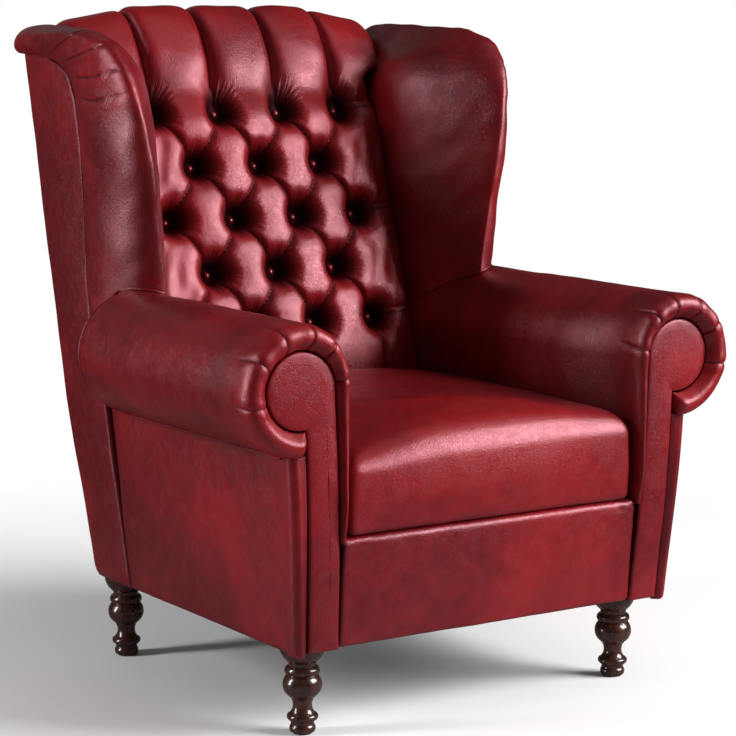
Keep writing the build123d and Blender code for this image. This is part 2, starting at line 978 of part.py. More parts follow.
side_puff_shares = [
    (0.01, 0.03, 0.08),
    (0.20, 0.40, 0.70),
    (0.46, 0.98, 0.96),
    (0.75, 0.98, 0.80),
    (1.00, 0.96, 0.45),
]


def puffs():
    """Every diamond below the top row of buttons."""
    half = tuft_spacing / 2
    shapes = []
    for number in range(1, 5):
        v = -number * tuft_pitch
        if number % 2:
            shapes += [puff(-half, v), puff(half, v), side_puff(-1, v), side_puff(1, v)]
        else:
            shapes += [puff(-tuft_spacing, v), puff(0, v), puff(tuft_spacing, v)]
    return shapes


def channel_arch(centre_x, half_width):
    """Slice of a channel at the roll's front, level with the roll's middle."""
    base = top_roll_radius - top_pleat_depth - tuft_root
    left = (centre_x - half_width, top_roll_y - base, top_roll_z)
    right = (centre_x + half_width, top_roll_y - base, top_roll_z)
    front = (centre_x, top_roll_y - top_roll_radius, top_roll_z)
    return ring_face([Line(left, right), ThreePointArc(right, front, left)])


def channel(centre_x, half_width, from_tip):
    """One channel: its foot among the top buttons, then over the roll to the back."""
    half = half_width - tuft_seam
    arch = channel_arch(centre_x, half)
    roll_axis = Axis((0, top_roll_y, top_roll_z), (-1, 0, 0))
    over = revolve(arch, axis=roll_axis, revolution_arc=90)
    top_arch = arch.rotate(roll_axis, 90)
    rear_axis = Axis((0, top_roll_y, top_roll_z + top_roll_radius - top_roll_rear_radius), (-1, 0, 0))
    behind = revolve(top_arch, axis=rear_axis, revolution_arc=90)
    if from_tip:
        lower = [row for row in puff_shares if row[0] <= 0]
        foot = loft(puff_slices(centre_x, 0, lower) + [arch])
    else:
        foot = loft([lens(centre_x, -button_pocket, half, tuft_depth / 2), arch])
    return [foot, over, behind]


def roll_end(x_sign):
    """Plain rounded end of the top roll, over the frame between the outer channel and the wing's top."""
    inner = back_half_width - soft_gap - tuft_root
    outer = wing_cap_inner_x - soft_gap
    base = top_roll_radius - top_pleat_depth - tuft_root
    crest = top_roll_radius - top_pleat_depth / 2
    shoulder = (crest + base) / 2
    near = top_roll_y - base
    profile = ring_face(
        [
            Line((x_sign * inner, near, top_roll_z), (x_sign * outer, near, top_roll_z)),
            Line((x_sign * outer, near, top_roll_z), (x_sign * outer, top_roll_y - shoulder, top_roll_z)),
            TangentArc(
                (x_sign * inner, top_roll_y - crest, top_roll_z),
                (x_sign * outer, top_roll_y - shoulder, top_roll_z),
                tangent=(x_sign, 0, 0),
            ),
            Line((x_sign * inner, top_roll_y - crest, top_roll_z), (x_sign * inner, near, top_roll_z)),
        ]
    )
    roll_axis = Axis((0, top_roll_y, top_roll_z), (-1, 0, 0))
    over = revolve(profile, axis=roll_axis, revolution_arc=90)
    rear_axis = Axis((0, top_roll_y, top_roll_z + top_roll_radius - top_roll_rear_radius), (-1, 0, 0))
    behind = revolve(profile.rotate(roll_axis, 90), axis=rear_axis, revolution_arc=90)
    floor = wing_shoulder_z + soft_gap
    below = block(-outer - overrun, outer + overrun, 0, back_y(wing_top_z) * 2, 0, floor)
    fill_half = (outer - inner) / 2
    fill_middle = x_sign * (inner + fill_half)
    fill = block(
        fill_middle - fill_half,
        fill_middle + fill_half,
        near + top_pleat_depth,
        frame_back_y(floor),
        floor,
        top_roll_z + base - top_pleat_depth,
    )
    return [over - below, behind, fill]


def channels():
    outer_half = (back_half_width - tuft_spacing * 1.5) / 2
    outer_x = tuft_spacing * 1.5 + outer_half
    shapes = []
    for step in (-1, 0, 1):
        shapes += channel(step * tuft_spacing, tuft_spacing / 2, True)
    for x_sign in (-1, 1):
        shapes += channel(x_sign * outer_x, outer_half - soft_gap, False)
        shapes += roll_end(x_sign)
    return shapes


def back_core():
    """Body of the back pad behind its tufts, with the base of the top roll."""
    base = top_roll_radius - top_pleat_depth
    bend_y = tuft_y(tuft_bend_z)
    roll_top = top_roll_z + base
    rear_z = top_roll_z + top_roll_radius - top_roll_rear_radius
    rear_y = top_roll_y + top_roll_rear_radius - top_pleat_depth
    front_y = top_roll_y - base
    bend = sqrt(0.5)
    edges = [
        Line((0, bend_y, lumbar_bottom), (0, bend_y, tuft_bend_z)),
        Line((0, bend_y, tuft_bend_z), (0, tuft_top_y, tuft_top_z)),
        Line((0, tuft_top_y, tuft_top_z), (0, front_y, top_roll_z)),
        ThreePointArc(
            (0, front_y, top_roll_z),
            (0, top_roll_y - base * bend, top_roll_z + base * bend),
            (0, top_roll_y, roll_top),
        ),
        Line((0, top_roll_y, roll_top), (0, rear_y, rear_z)),
        Line((0, rear_y, rear_z), (0, rear_y, back_top_z)),
        Line((0, rear_y, back_top_z), (0, back_y(back_top_z), back_top_z)),
        Line((0, back_y(back_top_z), back_top_z), (0, frame_back_y(back_top_z), back_top_z)),
        Line((0, frame_back_y(back_top_z), back_top_z), (0, frame_back_y(side_top_z), side_top_z)),
        Line((0, frame_back_y(side_top_z), side_top_z), (0, pad_back_y(side_top_z), side_top_z)),
        Line((0, pad_back_y(side_top_z), side_top_z), (0, pad_back_y(lumbar_bottom), lumbar_bottom)),
        Line((0, pad_back_y(lumbar_bottom), lumbar_bottom), (0, bend_y, lumbar_bottom)),
    ]
    half = back_half_width - soft_gap
    return Pos(-half, 0, 0) * extrude(ring_face(edges), amount=2 * half, dir=(1, 0, 0))


def back_pad():
    pad = back_core()
    for shape in puffs() + channels():
        pad += shape
    pad -= leaning_rail(side_top_z - top_rail_height, side_top_z)
    pad -= back_upright()
    pad -= mirrored(back_upright())
    plane = tuft_plane()
    for row in button_rows():
        for x, v in row:
            floor = plane.from_local_coords((x, v, 0))
            mouth = plane.from_local_coords((x, v, tuft_depth))
            pad -= rod(floor, mouth, button_pocket)
    return pad


def button():
    """Leather-covered button in the buttons' frame: a disc with a domed face."""
    rim = button_height / 3
    edges = [
        Line((0, 0, 0), (button_radius, 0, 0)),
        Line((button_radius, 0, 0), (button_radius, 0, rim)),
        TangentArc((0, 0, button_height), (button_radius, 0, rim), tangent=(1, 0, 0)),
        Line((0, 0, button_height), (0, 0, 0)),
    ]
    return revolve(ring_face(edges), axis=Axis.Z)


def back_buttons():
    plane = tuft_plane()
    shape = button()
    places = [place for row in button_rows() for place in row]
    return Compound([single(plane * Pos(x, v, 0) * shape) for x, v in places])


def outside_back():
    """Flat panel over the back of the frame, narrower between the padded tops of the wings."""
    shoulder = wing_shoulder_z
    low = [
        (back_y(body_bottom), body_bottom),
        (back_y(shoulder), shoulder),
        (frame_back_y(shoulder), shoulder),
        (frame_back_y(body_bottom), body_bottom),
    ]
    high = [
        (back_y(shoulder), shoulder),
        (back_y(back_top_z), back_top_z),
        (frame_back_y(back_top_z), back_top_z),
        (frame_back_y(shoulder), shoulder),
    ]
    top_half = wing_cap_inner_x - soft_gap
    return from_side(low, -rail_side_x, rail_side_x) + from_side(high, -top_half, top_half)


def back_webbing():
    """Straps across the uprights, behind the pad."""
    straps = []
    low = tack_rail_z + tack_rail_height
    high = side_top_z - top_rail_height
    step = (high - low) / webbing_count
    for number in range(webbing_count):
        z0 = low + (number + 0.5) * step - webbing_width / 2
        z1 = z0 + webbing_width
        points = [
            (pad_back_y(z0), z0),
            (frame_front_y(z0), z0),
            (frame_front_y(z1), z1),
            (pad_back_y(z1), z1),
        ]
        straps.append(single(from_side(points, -rail_side_x, rail_side_x)))
    return Compound(straps)


# Front border and dust cover

def front_border():
    """Padded border across the front rail, softly rounded at its edges."""
    body = block(
        -border_half_width + facing_groove,
        border_half_width - facing_groove,
        rail_front_y - facing_thickness + facing_edge,
        rail_front_y,
        body_bottom,
        border_top - overrun,
    )
    front_face = body.faces().sort_by(Axis.Y)[0]
    return fillet(front_face.edges(), facing_edge)


def dust_cover():
    """Thin cloth under the frame, with holes for the legs' bolts."""
    edge = dust_cover_margin
    sheet = block(
        -rail_side_x + edge,
        rail_side_x - edge,
        rail_front_y + edge,
        rail_rear_y() - edge,
        body_bottom,
        body_bottom + dust_cover_thickness,
    )
    for x, y in leg_places():
        sheet -= rod((x, y, body_bottom - overrun), (x, y, body_bottom + 2 * overrun), bolt_radius)
    return sheet


# Assembly

def chair():
    """Every piece under its name, drawn from the facings' plane."""
    pieces = {}
    holes = dowels(dowel_radius + dowel_fit, dowel_length + 2 * dowel_fit)
    post = front_post()
    upright = back_upright()
    board = arm_board()
    low_arm_rail = arm_tack_rail()
    post_of_wing = wing_post()
    rail_of_wing = wing_top_rail()
    pieces["front_rail"] = front_rail() - holes
    pieces["rear_rail"] = rear_rail() - holes
    pieces["back_top_rail"] = leaning_rail(side_top_z - top_rail_height, side_top_z)
    pieces["back_lower_rail"] = leaning_rail(tack_rail_z, tack_rail_z + tack_rail_height)
    pieces["corner_blocks"] = corner_blocks()
    pieces["rail_dowels"] = dowels(dowel_radius, dowel_length)
    pieces["seat_springs"] = seat_springs()
    pieces["spring_clips"] = spring_clips()
    pieces["deck_pad"] = deck_pad()
    pieces["deck_cover"] = deck_cover()
    pieces["back_webbing"] = back_webbing()
    pieces["back_pad"] = back_pad()
    pieces["back_buttons"] = back_buttons()
    pieces["outside_back"] = outside_back()
    pieces["front_border"] = front_border()
    pieces["dust_cover"] = dust_cover()
    pieces["leg_bolts"] = at_legs(hanger_bolt())
    pieces["tee_nuts"] = at_legs(tee_nut())
    pieces["foot_glides"] = at_legs(foot_glide())
    pieces["cushion_cover"] = cushion_form(0) - cushion_form(cushion_cover)
    pieces["cushion_core"] = cushion_form(cushion_cover + core_gap)
    leg = turned_leg()
    leg_names = ("front_right_leg", "front_left_leg", "rear_right_leg", "rear_left_leg")
    for name, (x, y) in zip(leg_names, leg_places()):
        pieces[name] = Pos(x, y, 0) * leg
    sides = {
        "side_rail": side_rail(),
        "front_post": post,
        "back_upright": upright,
        "arm_board": board,
        "arm_tack_rail": low_arm_rail,
        "wing_post": post_of_wing,
        "wing_top_rail": rail_of_wing,
        "arm_pad": arm_pad([post, board, low_arm_rail, post_of_wing]),
        "front_facing": front_facing(),
        "outside_arm": outside_arm() - board - post,
        "wing_pad": wing_pad([post_of_wing, rail_of_wing, upright, board, arm_inside_solid()]),
        "outside_wing": outside_wing() - board,
    }
    for name, piece in sides.items():
        pieces["left_" + name] = piece
        pieces["right_" + name] = mirrored(piece)
    for side in ("left_", "right_"):
        pieces[side + "side_rail"] -= holes
        pieces[side + "front_post"] -= holes
    return pieces


def centred(pieces):
    """The pieces moved along Y, so that the chair's middle lies over the origin."""
    whole = Compound([single(piece) for piece in pieces.values()])
    box = whole.bounding_box()
    middle_y = (box.min.Y + box.max.Y) / 2
    return {name: Pos(0, -middle_y, 0) * single(piece) for name, piece in pieces.items()}, middle_y


def main():
    placed, middle_y = centred(chair())
    print("facing plane lies at Y =", round(-middle_y, 3))
    for name, piece in placed.items():
        export_step(piece, "parts/" + name + ".step")


main()
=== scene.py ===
import math

import bmesh
import bpy
import numpy as np
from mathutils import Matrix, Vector


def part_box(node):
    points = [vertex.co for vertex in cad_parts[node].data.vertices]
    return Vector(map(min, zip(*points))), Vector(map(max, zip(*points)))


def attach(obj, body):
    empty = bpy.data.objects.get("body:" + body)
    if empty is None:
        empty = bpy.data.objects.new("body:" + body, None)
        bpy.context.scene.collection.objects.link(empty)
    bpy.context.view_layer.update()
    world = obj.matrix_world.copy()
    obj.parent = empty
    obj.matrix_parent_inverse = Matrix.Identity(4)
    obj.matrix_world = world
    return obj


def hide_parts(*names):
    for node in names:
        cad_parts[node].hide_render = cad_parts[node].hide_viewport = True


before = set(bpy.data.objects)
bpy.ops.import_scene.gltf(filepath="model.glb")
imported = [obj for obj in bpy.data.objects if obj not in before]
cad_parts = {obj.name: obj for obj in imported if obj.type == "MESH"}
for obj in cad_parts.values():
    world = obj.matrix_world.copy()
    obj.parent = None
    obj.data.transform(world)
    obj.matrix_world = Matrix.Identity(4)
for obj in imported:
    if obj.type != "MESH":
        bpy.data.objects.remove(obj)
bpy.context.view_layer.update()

# Sizes are in millimetres, and Y is measured from the plane of the two front facings,
# until a mesh is made: then they become metres in the frame of the solids.
MM = 0.001
FACINGS = np.array([0.0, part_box("left_front_facing")[0].y, 0.0])

# Body
BODY_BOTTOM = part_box("front_border")[0].z / MM
SIDE_BOTTOM_X, SIDE_ARM_X, SIDE_TOP_X = 345.0, 364.0, 372.0
SIDE_ARM_Z, SIDE_TOP_Z = 426.0, 985.0
BACK_BOTTOM_Y, BACK_LEAN = 642.0, math.radians(11.8)
FRONT_LEAN, LEAN_LOW, LEAN_HIGH, LEAN_REAR = 22.0, 40.0, 400.0, 280.0

# Buttoned back: places on it are across (x) and up its slope from the top row of buttons (s)
TUFT_LEAN = math.radians(17.3)
TUFT_Y, TUFT_Z = 720.0, 880.0
TUFT_SPACING, TUFT_PITCH, TUFT_ROWS = 122.0, 92.0, 5
OUTER_X = 1.5 * TUFT_SPACING
TUFT_DEPTH, TUFT_TIGHTNESS, CHANNEL_TIGHTNESS, TUFT_SAG = 47.0, 21.0, 34.0, 4.0
CHANNEL_FOOT, CHANNEL_FOOT_REACH, CHANNEL_FOOT_TIGHTNESS = 38.0, 34.0, 18.0
POCKET_REACH, POCKET_TOP_STRETCH, POCKET_STRETCH = 27.0, 1.45, 1.1
FOLD_PLACES, FOLD_SHARES = (-10.0, 25.0, 50.0, 120.0), (0.66, 0.2, 0.05, 0.05, 0.45)
SIDE_FOLD_SHARE, SIDE_FOLD_WIDTH = 0.24, 12.0
TUCK_DEPTH, TUCK_ABOVE, TUCK_WIDTH = 5.0, 11.0, 2.2
RAY_LENGTH, RAY_INSIDE, RAY_OUTSIDE = 60.0, 8.0, 54.0
PLANE_BOW = 0.000226
BEND_Z, LUMBAR_BOTTOM = 452.0, 290.0
BACK_HALF, BACK_SHOULDER_HALF, SHOULDER_Z = 255.0, 303.0, 962.0
ROLL_Y, ROLL_TOP, ROLL_START, ROLL_LENGTH, CHANNEL_HEIGHT = 820.0, 1036.0, 40.0, 150.0, 36.0
ROLL_REAR_Y, ROLL_REAR_BASE, ROLL_REAR_TOP, ROLL_REAR_IN = 822.0, 9.0, 1000.0, 38.0
ROLL_END_DROP, END_CHANNEL_SHARE, END_ROUND_SHARE = 26.0, 0.92, 0.22
BACK_STEP, PIN_SHARE, SPINE_BLEND = 2.2, 0.6, 31
BUTTON_RADIUS, BUTTON_HEIGHT = 5.7, 4.6

# Arms
ARM_X, ARM_Z, ARM_RADIUS = 344.0, 524.0, 97.0
ARM_FRONT_INNER, ARM_FRONT_BLEND, ARM_FRONT_BLEND_Y = 80.0, 130.0, 170.0
ARM_BOTTOM = 296.0
ARM_SIDE = [(247, ARM_Z), (250.5, 455), (258, 395), (265, 335), (269, ARM_BOTTOM)]
ARM_FRONT_SIDE = [(264, ARM_Z), (265.5, 455), (267, 395), (268, 335), (269, ARM_BOTTOM)]
ARM_HIDDEN, ARM_HIDDEN_Y = [(300.0, 300.0), (306.0, 470.0), (338.0, 445.0)], 26.0
ARM_END_Y, ARM_END_ROUND, ARM_END_BLEND = 520.0, 50.0, 28.0
ARM_END_START = ARM_END_Y - ARM_END_ROUND
ARM_REAR_Y = 636.0
RING_BULGE, RING_REACH, RING_BACK_Y, RING_LIP, RING_SQUARENESS = 15.0, 36.0, 14.0, 3.0, 0.82
RING_PLEATS, RING_PLEAT_LENGTH, RING_PLEAT_SKEW = (-11.0, 33.0, 67.0, 101.0, 132.0, 171.0), 34.0, 0.10
FINE_STEP, FINE_END, COARSE_START, COARSE_STEP = 2.5, 70.0, 74.0, 9.0
UNDER_SEAM, UNDER_SEAM_WIDTH = -77.0, 2.6
PLEAT_WIDTH, PLEAT_PUFF_WIDTH = 1.3, 9.0

# Facings: the rings of one go from its hidden rear over its edge to its face (growth, y, painted shade of the
# groove)
FACING_RADIUS, FACING_GROOVE, GROOVE_Y = 57.0, 1.4, 14.0
STEM_INNER_X, STEM_OUTER_X, NECK_X = 270.0, 322.0, 336.0
FACING_STEPS = [
    (0, 22, 1.0), (0, 8, 1.0), (0, 5, 0.8), (-0.5, 2.6, 0.1), (-1.4, 1.1, 0), (-2.8, 0.3, 0), (-6, -0.3, 0),
    (-12, -1.0, 0), (-19, -1.5, 0),
]

# Welt round the arm
WELT_RADIUS, WELT_STEP, WELT_OUT = 2.1, 3.0, 1.2
WELT_Y, WELT_FRONT_Y = 488.0, 12.0
WELT_TURN, WELT_UNDER_TURN = 66.0, -74.5
WELT_ACROSS_START, WELT_ACROSS_END = 2.9, 1.38

# Outside panels
ARM_PANEL_THICK, ARM_PANEL_BEND, ARM_PANEL_BELLY = 15.0, 13.0, 3.5
ARM_PANEL_FOOT_LEVELS, ARM_PANEL_FOOT_PULLS = (0, 0.004, 0.012, 0.024), (6.0, 2.6, 0.8, 0.2)
PANEL_SEAM_Y, PANEL_SEAM_SLOPE, PANEL_SEAM_GAP = 500.0, 0.15, 2.0
WING_PANEL_THICK, WING_PANEL_BEND, WING_PANEL_BELLY = 14.0, 25.0, 2.5
WING_PANEL_TOP, WING_PANEL_INNER_X, WING_PANEL_FOOT_PULLS = 984.0, 336.0, (5.0, 1.6, 0.4)
REAR_PANEL_HALF, REAR_PANEL_TOP_HALF, REAR_PANEL_TOP = 333.0, 289.0, 1003.0
REAR_PANEL_NECK_Z, REAR_PANEL_THICK, REAR_PANEL_FULL = 968.0, 10.0, 3.5

# Seat
BORDER_HALF, BORDER_TOP, BORDER_Y, BORDER_THICK, BORDER_FULL = 268.6, 303.0, 13.0, 20.0, 5.0
BORDER_FOLD, BORDER_FOLD_REACH, BORDER_LEAN_REAR = 1.8, 40.0, 24.0
CUSHION_HALF, CUSHION_WIDER, CUSHION_FRONT, CUSHION_DEPTH = 252.0, 5.0, 4.0, 556.0
CUSHION_HEIGHT, CUSHION_CROWN, CUSHION_ROUND, CUSHION_LOW_ROUND = 137.0, 30.0, 33.0, 10.0
CUSHION_FRONT_FULL, CUSHION_SLUMP, CUSHION_LEFT_SLUMP = 5.0, 19.0, 2.0
DECK_FRONT_Z, DECK_SLOPE = 303.0, math.radians(2.5)
DECK_HALF, DECK_FRONT, DECK_REAR, DECK_THICK, DECK_BASE = 254.5, 25.0, 585.0, 50.0, 251.0
DECK_SEAMS = (118.0, 126.0)
SOFT_GAP = 0.3


# Shapes

def smooth_step(value):
    value = np.clip(value, 0.0, 1.0)
    return value * value * (3 - 2 * value)


def fading(distance, width):
    """One at an edge, and less and less away from it."""
    return np.exp(-distance / width)


def hump(value, middle, width):
    """One at a middle value, falling softly on both sides."""
    return np.exp(-(((value - middle) / width) ** 2))


def side_x(z):
    """Outer face of the chair's side at height z."""
    return np.interp(z, (BODY_BOTTOM, SIDE_ARM_Z, SIDE_TOP_Z), (SIDE_BOTTOM_X, SIDE_ARM_X, SIDE_TOP_X))


def back_y(z):
    """Outer face of the leaning back at height z."""
    return BACK_BOTTOM_Y + (np.asarray(z) - BODY_BOTTOM) * math.tan(BACK_LEAN)


def deck_z(y):
    """Top of the seat deck, which falls towards the back."""
    return DECK_FRONT_Z - (np.asarray(y) - CUSHION_FRONT) * math.tan(DECK_SLOPE)


def leaned(points, rear=LEAN_REAR):
    """Moves the front of a piece out to the chair's front, which leans forward as it rises."""
    out = FRONT_LEAN * smooth_step((points[..., 2] - LEAN_LOW) / (LEAN_HIGH - LEAN_LOW))
    points[..., 1] -= out * smooth_step((rear - points[..., 1]) / (rear - CUSHION_FRONT))
    return points


def run_between(t, start, end, leaving, arriving):
    """A smooth run from start to end, with its slopes on leaving and on arriving."""
    return (
        (2 * t**3 - 3 * t**2 + 1) * start + (t**3 - 2 * t**2 + t) * leaving
        + (3 * t**2 - 2 * t**3) * end + (t**3 - t**2) * arriving
    )


def through(stations, at):
    """Values on a smooth curve through numbered stations; at runs from 0 to the last one's number."""
    stations = np.asarray(stations, float)
    slope = np.gradient(stations, axis=0)
    low = np.clip(np.floor(at).astype(int), 0, len(stations) - 2)
    t = (np.asarray(at) - low)[..., None]
    return run_between(t, stations[low], stations[low + 1], slope[low], slope[low + 1])


def arc(x, z, radius, turn, rise=None):
    """Points round a centre at their angles, on a circle or with a radius of their own for the rise."""
    return np.stack([x + radius * np.cos(turn), z + (rise or radius) * np.sin(turn)], -1)


def lengths_along(path):
    """Length of a path up to each of its points."""
    return np.concatenate([[0], np.cumsum(np.linalg.norm(np.diff(path, axis=0), axis=1))])


def ripples(points, scale, seed, stretch=(1, 1, 1)):
    """Soft uneven waves over a surface, from about -1 to 1."""
    chance = np.random.default_rng(seed)
    total = np.zeros(points.shape[:-1])
    count = 9
    for _ in range(count):
        heading = chance.normal(size=3)
        heading *= np.array(stretch) / np.linalg.norm(heading)
        size = scale * chance.uniform(0.7, 1.5)
        total += np.sin(points @ heading * (2 * math.pi / size) + chance.uniform(0, 2 * math.pi))
    return total / math.sqrt(count)


def neighbours(values):
    """Sum of the four values round each one in a grid."""
    wide = np.pad(values, 1, mode="edge")
    return wide[2:, 1:-1] + wide[:-2, 1:-1] + wide[1:-1, 2:] + wide[1:-1, :-2]


def softened(values, times):
    """Values over a grid, blended with their neighbours."""
    for _ in range(times):
        values = (4 * values + neighbours(values)) / 8
    return values


def new_object(name, data):
    piece = bpy.data.objects.new(name, data)
    bpy.context.scene.collection.objects.link(piece)
    return piece


def new_mesh(name, points, edges=(), faces=()):
    """A mesh from corners in millimetres."""
    mesh = bpy.data.meshes.new(name)
    mesh.from_pydata((np.reshape(points, (-1, 3)) * MM + FACINGS).tolist(), edges, faces)
    return mesh


def mesh_object(name, points, faces, **fields):
    """A piece from corners in millimetres and its faces, with named values at its corners."""
    mesh = new_mesh(name, points, faces=faces)
    for field, values in fields.items():
        values = np.asarray(values, np.float32)
        if values.size == 3 * len(mesh.vertices):
            mesh.attributes.new(field, "FLOAT_VECTOR", "POINT").data.foreach_set("vector", values.ravel())
        else:
            mesh.attributes.new(field, "FLOAT", "POINT").data.foreach_set("value", values.ravel())
    shell = bmesh.new()
    shell.from_mesh(mesh)
    bmesh.ops.recalc_face_normals(shell, faces=shell.faces)
    shell.to_mesh(mesh)
    shell.free()
    mesh.shade_smooth()
    return new_object(name, mesh)


def ringed(name, rings, sign=1.0, **fields):
    """A skin over closed rings with its two ends closed, on the side that the sign gives."""
    rings[..., 0] *= sign
    number = np.arange(rings[..., 0].size).reshape(rings.shape[:2])
    here, after = number[:-1], number[1:]
    quads = np.stack([here, np.roll(here, -1, 1), np.roll(after, -1, 1), after], -1)
    faces = quads.reshape(-1, 4).tolist() + [number[0][::-1].tolist(), number[-1].tolist()]
    return mesh_object(name, rings, faces, **fields)


def block_skin(cells):
    """Corners, from -1 to 1 along each axis, and faces of a block's skin."""
    quads = []
    for axis in range(3):
        u, v = [other for other in range(3) if other != axis]
        along, up = np.meshgrid(np.arange(cells[u]), np.arange(cells[v]), indexing="ij")
        for side in (0, cells[axis]):
            corners = []
            for du, dv in ((0, 0), (1, 0), (1, 1), (0, 1)):
                place = np.zeros(along.shape + (3,), int)
                place[..., axis], place[..., u], place[..., v] = side, along + du, up + dv
                corners.append(place.reshape(-1, 3))
            quads.append(np.stack(corners, 1))
    places, index = np.unique(np.concatenate(quads).reshape(-1, 3), axis=0, return_inverse=True)
    return 2 * places / np.array(cells) - 1, index.reshape(-1, 4).tolist()


def rounded(corners, half, radius, squareness=2.0):
    """A block's corners moved onto a block with round edges; squareness tightens its upright ones."""
    half = np.asarray(half, float)
    places = corners * half
    core = np.clip(places, radius - half, half - radius)
    away = places - core
    away = away * radius / np.maximum(np.linalg.norm(away, axis=-1, keepdims=True), 1e-9)
    level = np.abs(away[..., :2])
    square = np.sum(level**squareness, -1, keepdims=True) ** (1 / squareness)
    away[..., :2] *= np.linalg.norm(level, axis=-1, keepdims=True) / np.maximum(square, 1e-9)
    return core + away


def surface_normals(grid):
    """Unit normals over a grid of points; their side depends on the grid's directions."""
    along, across = np.gradient(grid, axis=0), np.gradient(grid, axis=1)
    normals = np.cross(along, across)
    return normals / np.maximum(np.linalg.norm(normals, axis=-1, keepdims=True), 1e-9)


# Nodes

def node(tree, kind, links=None, **settings):
    """Adds a node; links name its inputs and what goes into each: a node, a socket or a value."""
    made = tree.nodes.new(kind)
    for setting, value in settings.items():
        setattr(made, setting, value)
    for key, source in (links or {}).items():
        if isinstance(source, bpy.types.Node):
            source = source.outputs[0]
        if isinstance(source, bpy.types.NodeSocket):
            tree.links.new(source, made.inputs[key])
        else:
            made.inputs[key].default_value = source
    return made


def named_tree(name, tree_kind, inputs, outputs):
    """A node tree with named inputs and outputs, and the sockets inside it that they lead to."""
    tree = bpy.data.node_groups.new(name, tree_kind)
    for in_out, sockets in (("INPUT", inputs), ("OUTPUT", outputs)):
        for title, kind in sockets.items():
            tree.interface.new_socket(title, in_out=in_out, socket_type="NodeSocket" + kind)
    return tree, tree.nodes.new("NodeGroupInput").outputs, tree.nodes.new("NodeGroupOutput").inputs


def geometry_tree(name, sizes):
    inputs = {"Geometry": "Geometry", **sizes, "Finish": "Material"}
    return named_tree(name, "GeometryNodeTree", inputs, {"Geometry": "Geometry"})


def end_tree(tree, given, result, shape):
    """Ends a geometry tree with its shape, smooth and in the given finish."""
    smooth = node(tree, "GeometryNodeSetShadeSmooth", {"Geometry": shape})
    coloured = node(tree, "GeometryNodeSetMaterial", {"Geometry": smooth, "Material": given["Finish"]})
    tree.links.new(coloured.outputs[0], result[0])
    return tree


def grown(name, base, tree, **sizes):
    """The plain mesh that a geometry tree makes on a base piece, which is then removed."""
    maker = base.modifiers.new("maker", "NODES")
    maker.node_group = tree
    for item in tree.interface.items_tree:
        if item.in_out == "INPUT" and item.name in sizes:
            maker[item.identifier] = sizes[item.name]
    bpy.context.view_layer.update()
    done = base.evaluated_get(bpy.context.evaluated_depsgraph_get())
    mesh = bpy.data.meshes.new_from_object(done)
    base.modifiers.remove(maker)
    bpy.data.objects.remove(base)
    mesh.shade_smooth()
    return new_object(name, mesh)


# Buttoned back: a skin blown up between its folds

def back_spine():
    """Line that the buttons are drawn down to, from the seat over the top roll to the back, and its
    length from the top buttons."""
    path = [(TUFT_Y - (TUFT_Z - BEND_Z) * math.tan(TUFT_LEAN), z) for z in (LUMBAR_BOTTOM, BEND_Z)]
    path.append((TUFT_Y, TUFT_Z))
    corner_y = TUFT_Y + (ROLL_TOP - TUFT_Z) * math.tan(TUFT_LEAN)
    for t in np.linspace(0, 1, 30)[1:]:
        y = (1 - t) ** 2 * TUFT_Y + 2 * t * (1 - t) * corner_y + t**2 * ROLL_Y
        path.append((y, ROLL_TOP - (1 - t) ** 2 * (ROLL_TOP - TUFT_Z)))
    rear_z = ROLL_TOP - ROLL_REAR_BASE
    path += arc(ROLL_REAR_Y, rear_z, ROLL_REAR_BASE, np.radians(np.linspace(90, 0, 7))).tolist()
    path.append((ROLL_REAR_Y + ROLL_REAR_BASE, rear_z - CHANNEL_HEIGHT / 2))
    lengths = lengths_along(path)
    return np.array(path), lengths - lengths[2]


def button_places():
    """Buttons as places across and up the slope: four, three, four, three and four."""
    places = []
    for row in range(TUFT_ROWS):
        steps = (-1, 0, 1) if row % 2 else (-1.5, -0.5, 0.5, 1.5)
        places += [(step * TUFT_SPACING, -row * TUFT_PITCH) for step in steps]
    return places


def fold_lines(low, high):
    """Folds between the buttons, down to the seat, over the top roll and out to the wings."""
    lines = []
    buttons = set(button_places())
    for x, s in sorted(buttons):
        for step in (-0.5, 0.5):
            other = (x + step * TUFT_SPACING, s - TUFT_PITCH)
            if other in buttons:
                lines.append(((x, s), other))
    bottom = -(TUFT_ROWS - 1) * TUFT_PITCH
    for step in (-1.5, -0.5, 0.5, 1.5):
        x = step * TUFT_SPACING
        lines += [((x, 0.0), (x, high)), ((x, bottom), (x, low))]
    for row in range(0, TUFT_ROWS, 2):
        s = -row * TUFT_PITCH
        lines += [((sign * OUTER_X, s), (sign * BACK_HALF, s)) for sign in (-1, 1)]
    return lines


def distance_to_line(x, s, line):
    (x0, s0), (x1, s1) = line
    length = (x1 - x0) ** 2 + (s1 - s0) ** 2
    share = np.clip(((x - x0) * (x1 - x0) + (s - s0) * (s1 - s0)) / length, 0, 1)
    return np.hypot(x - x0 - share * (x1 - x0), s - s0 - share * (s1 - s0))


def blown_up(pinned, step):
    """Swell of a thin skin held at its pinned points, found from a coarse grid to the fine one."""
    swell = np.zeros(pinned.shape)
    rows, columns = pinned.shape
    if min(rows, columns) > 40:
        even = np.pad(pinned, ((0, rows % 2), (0, columns % 2)))
        coarse = even[::2, ::2] | even[1::2, ::2] | even[::2, 1::2] | even[1::2, 1::2]
        swell = np.kron(blown_up(coarse, 2 * step), np.ones((2, 2)))[:rows, :columns]
    for _ in range(220):
        swell = (neighbours(swell) + step**2) / 4
        swell[pinned] = 0
    return swell


def puffed(fullness):
    """Height of a padded skin as a share, steep at its folds and flat on top."""
    return np.sqrt(1 - np.exp(-fullness))


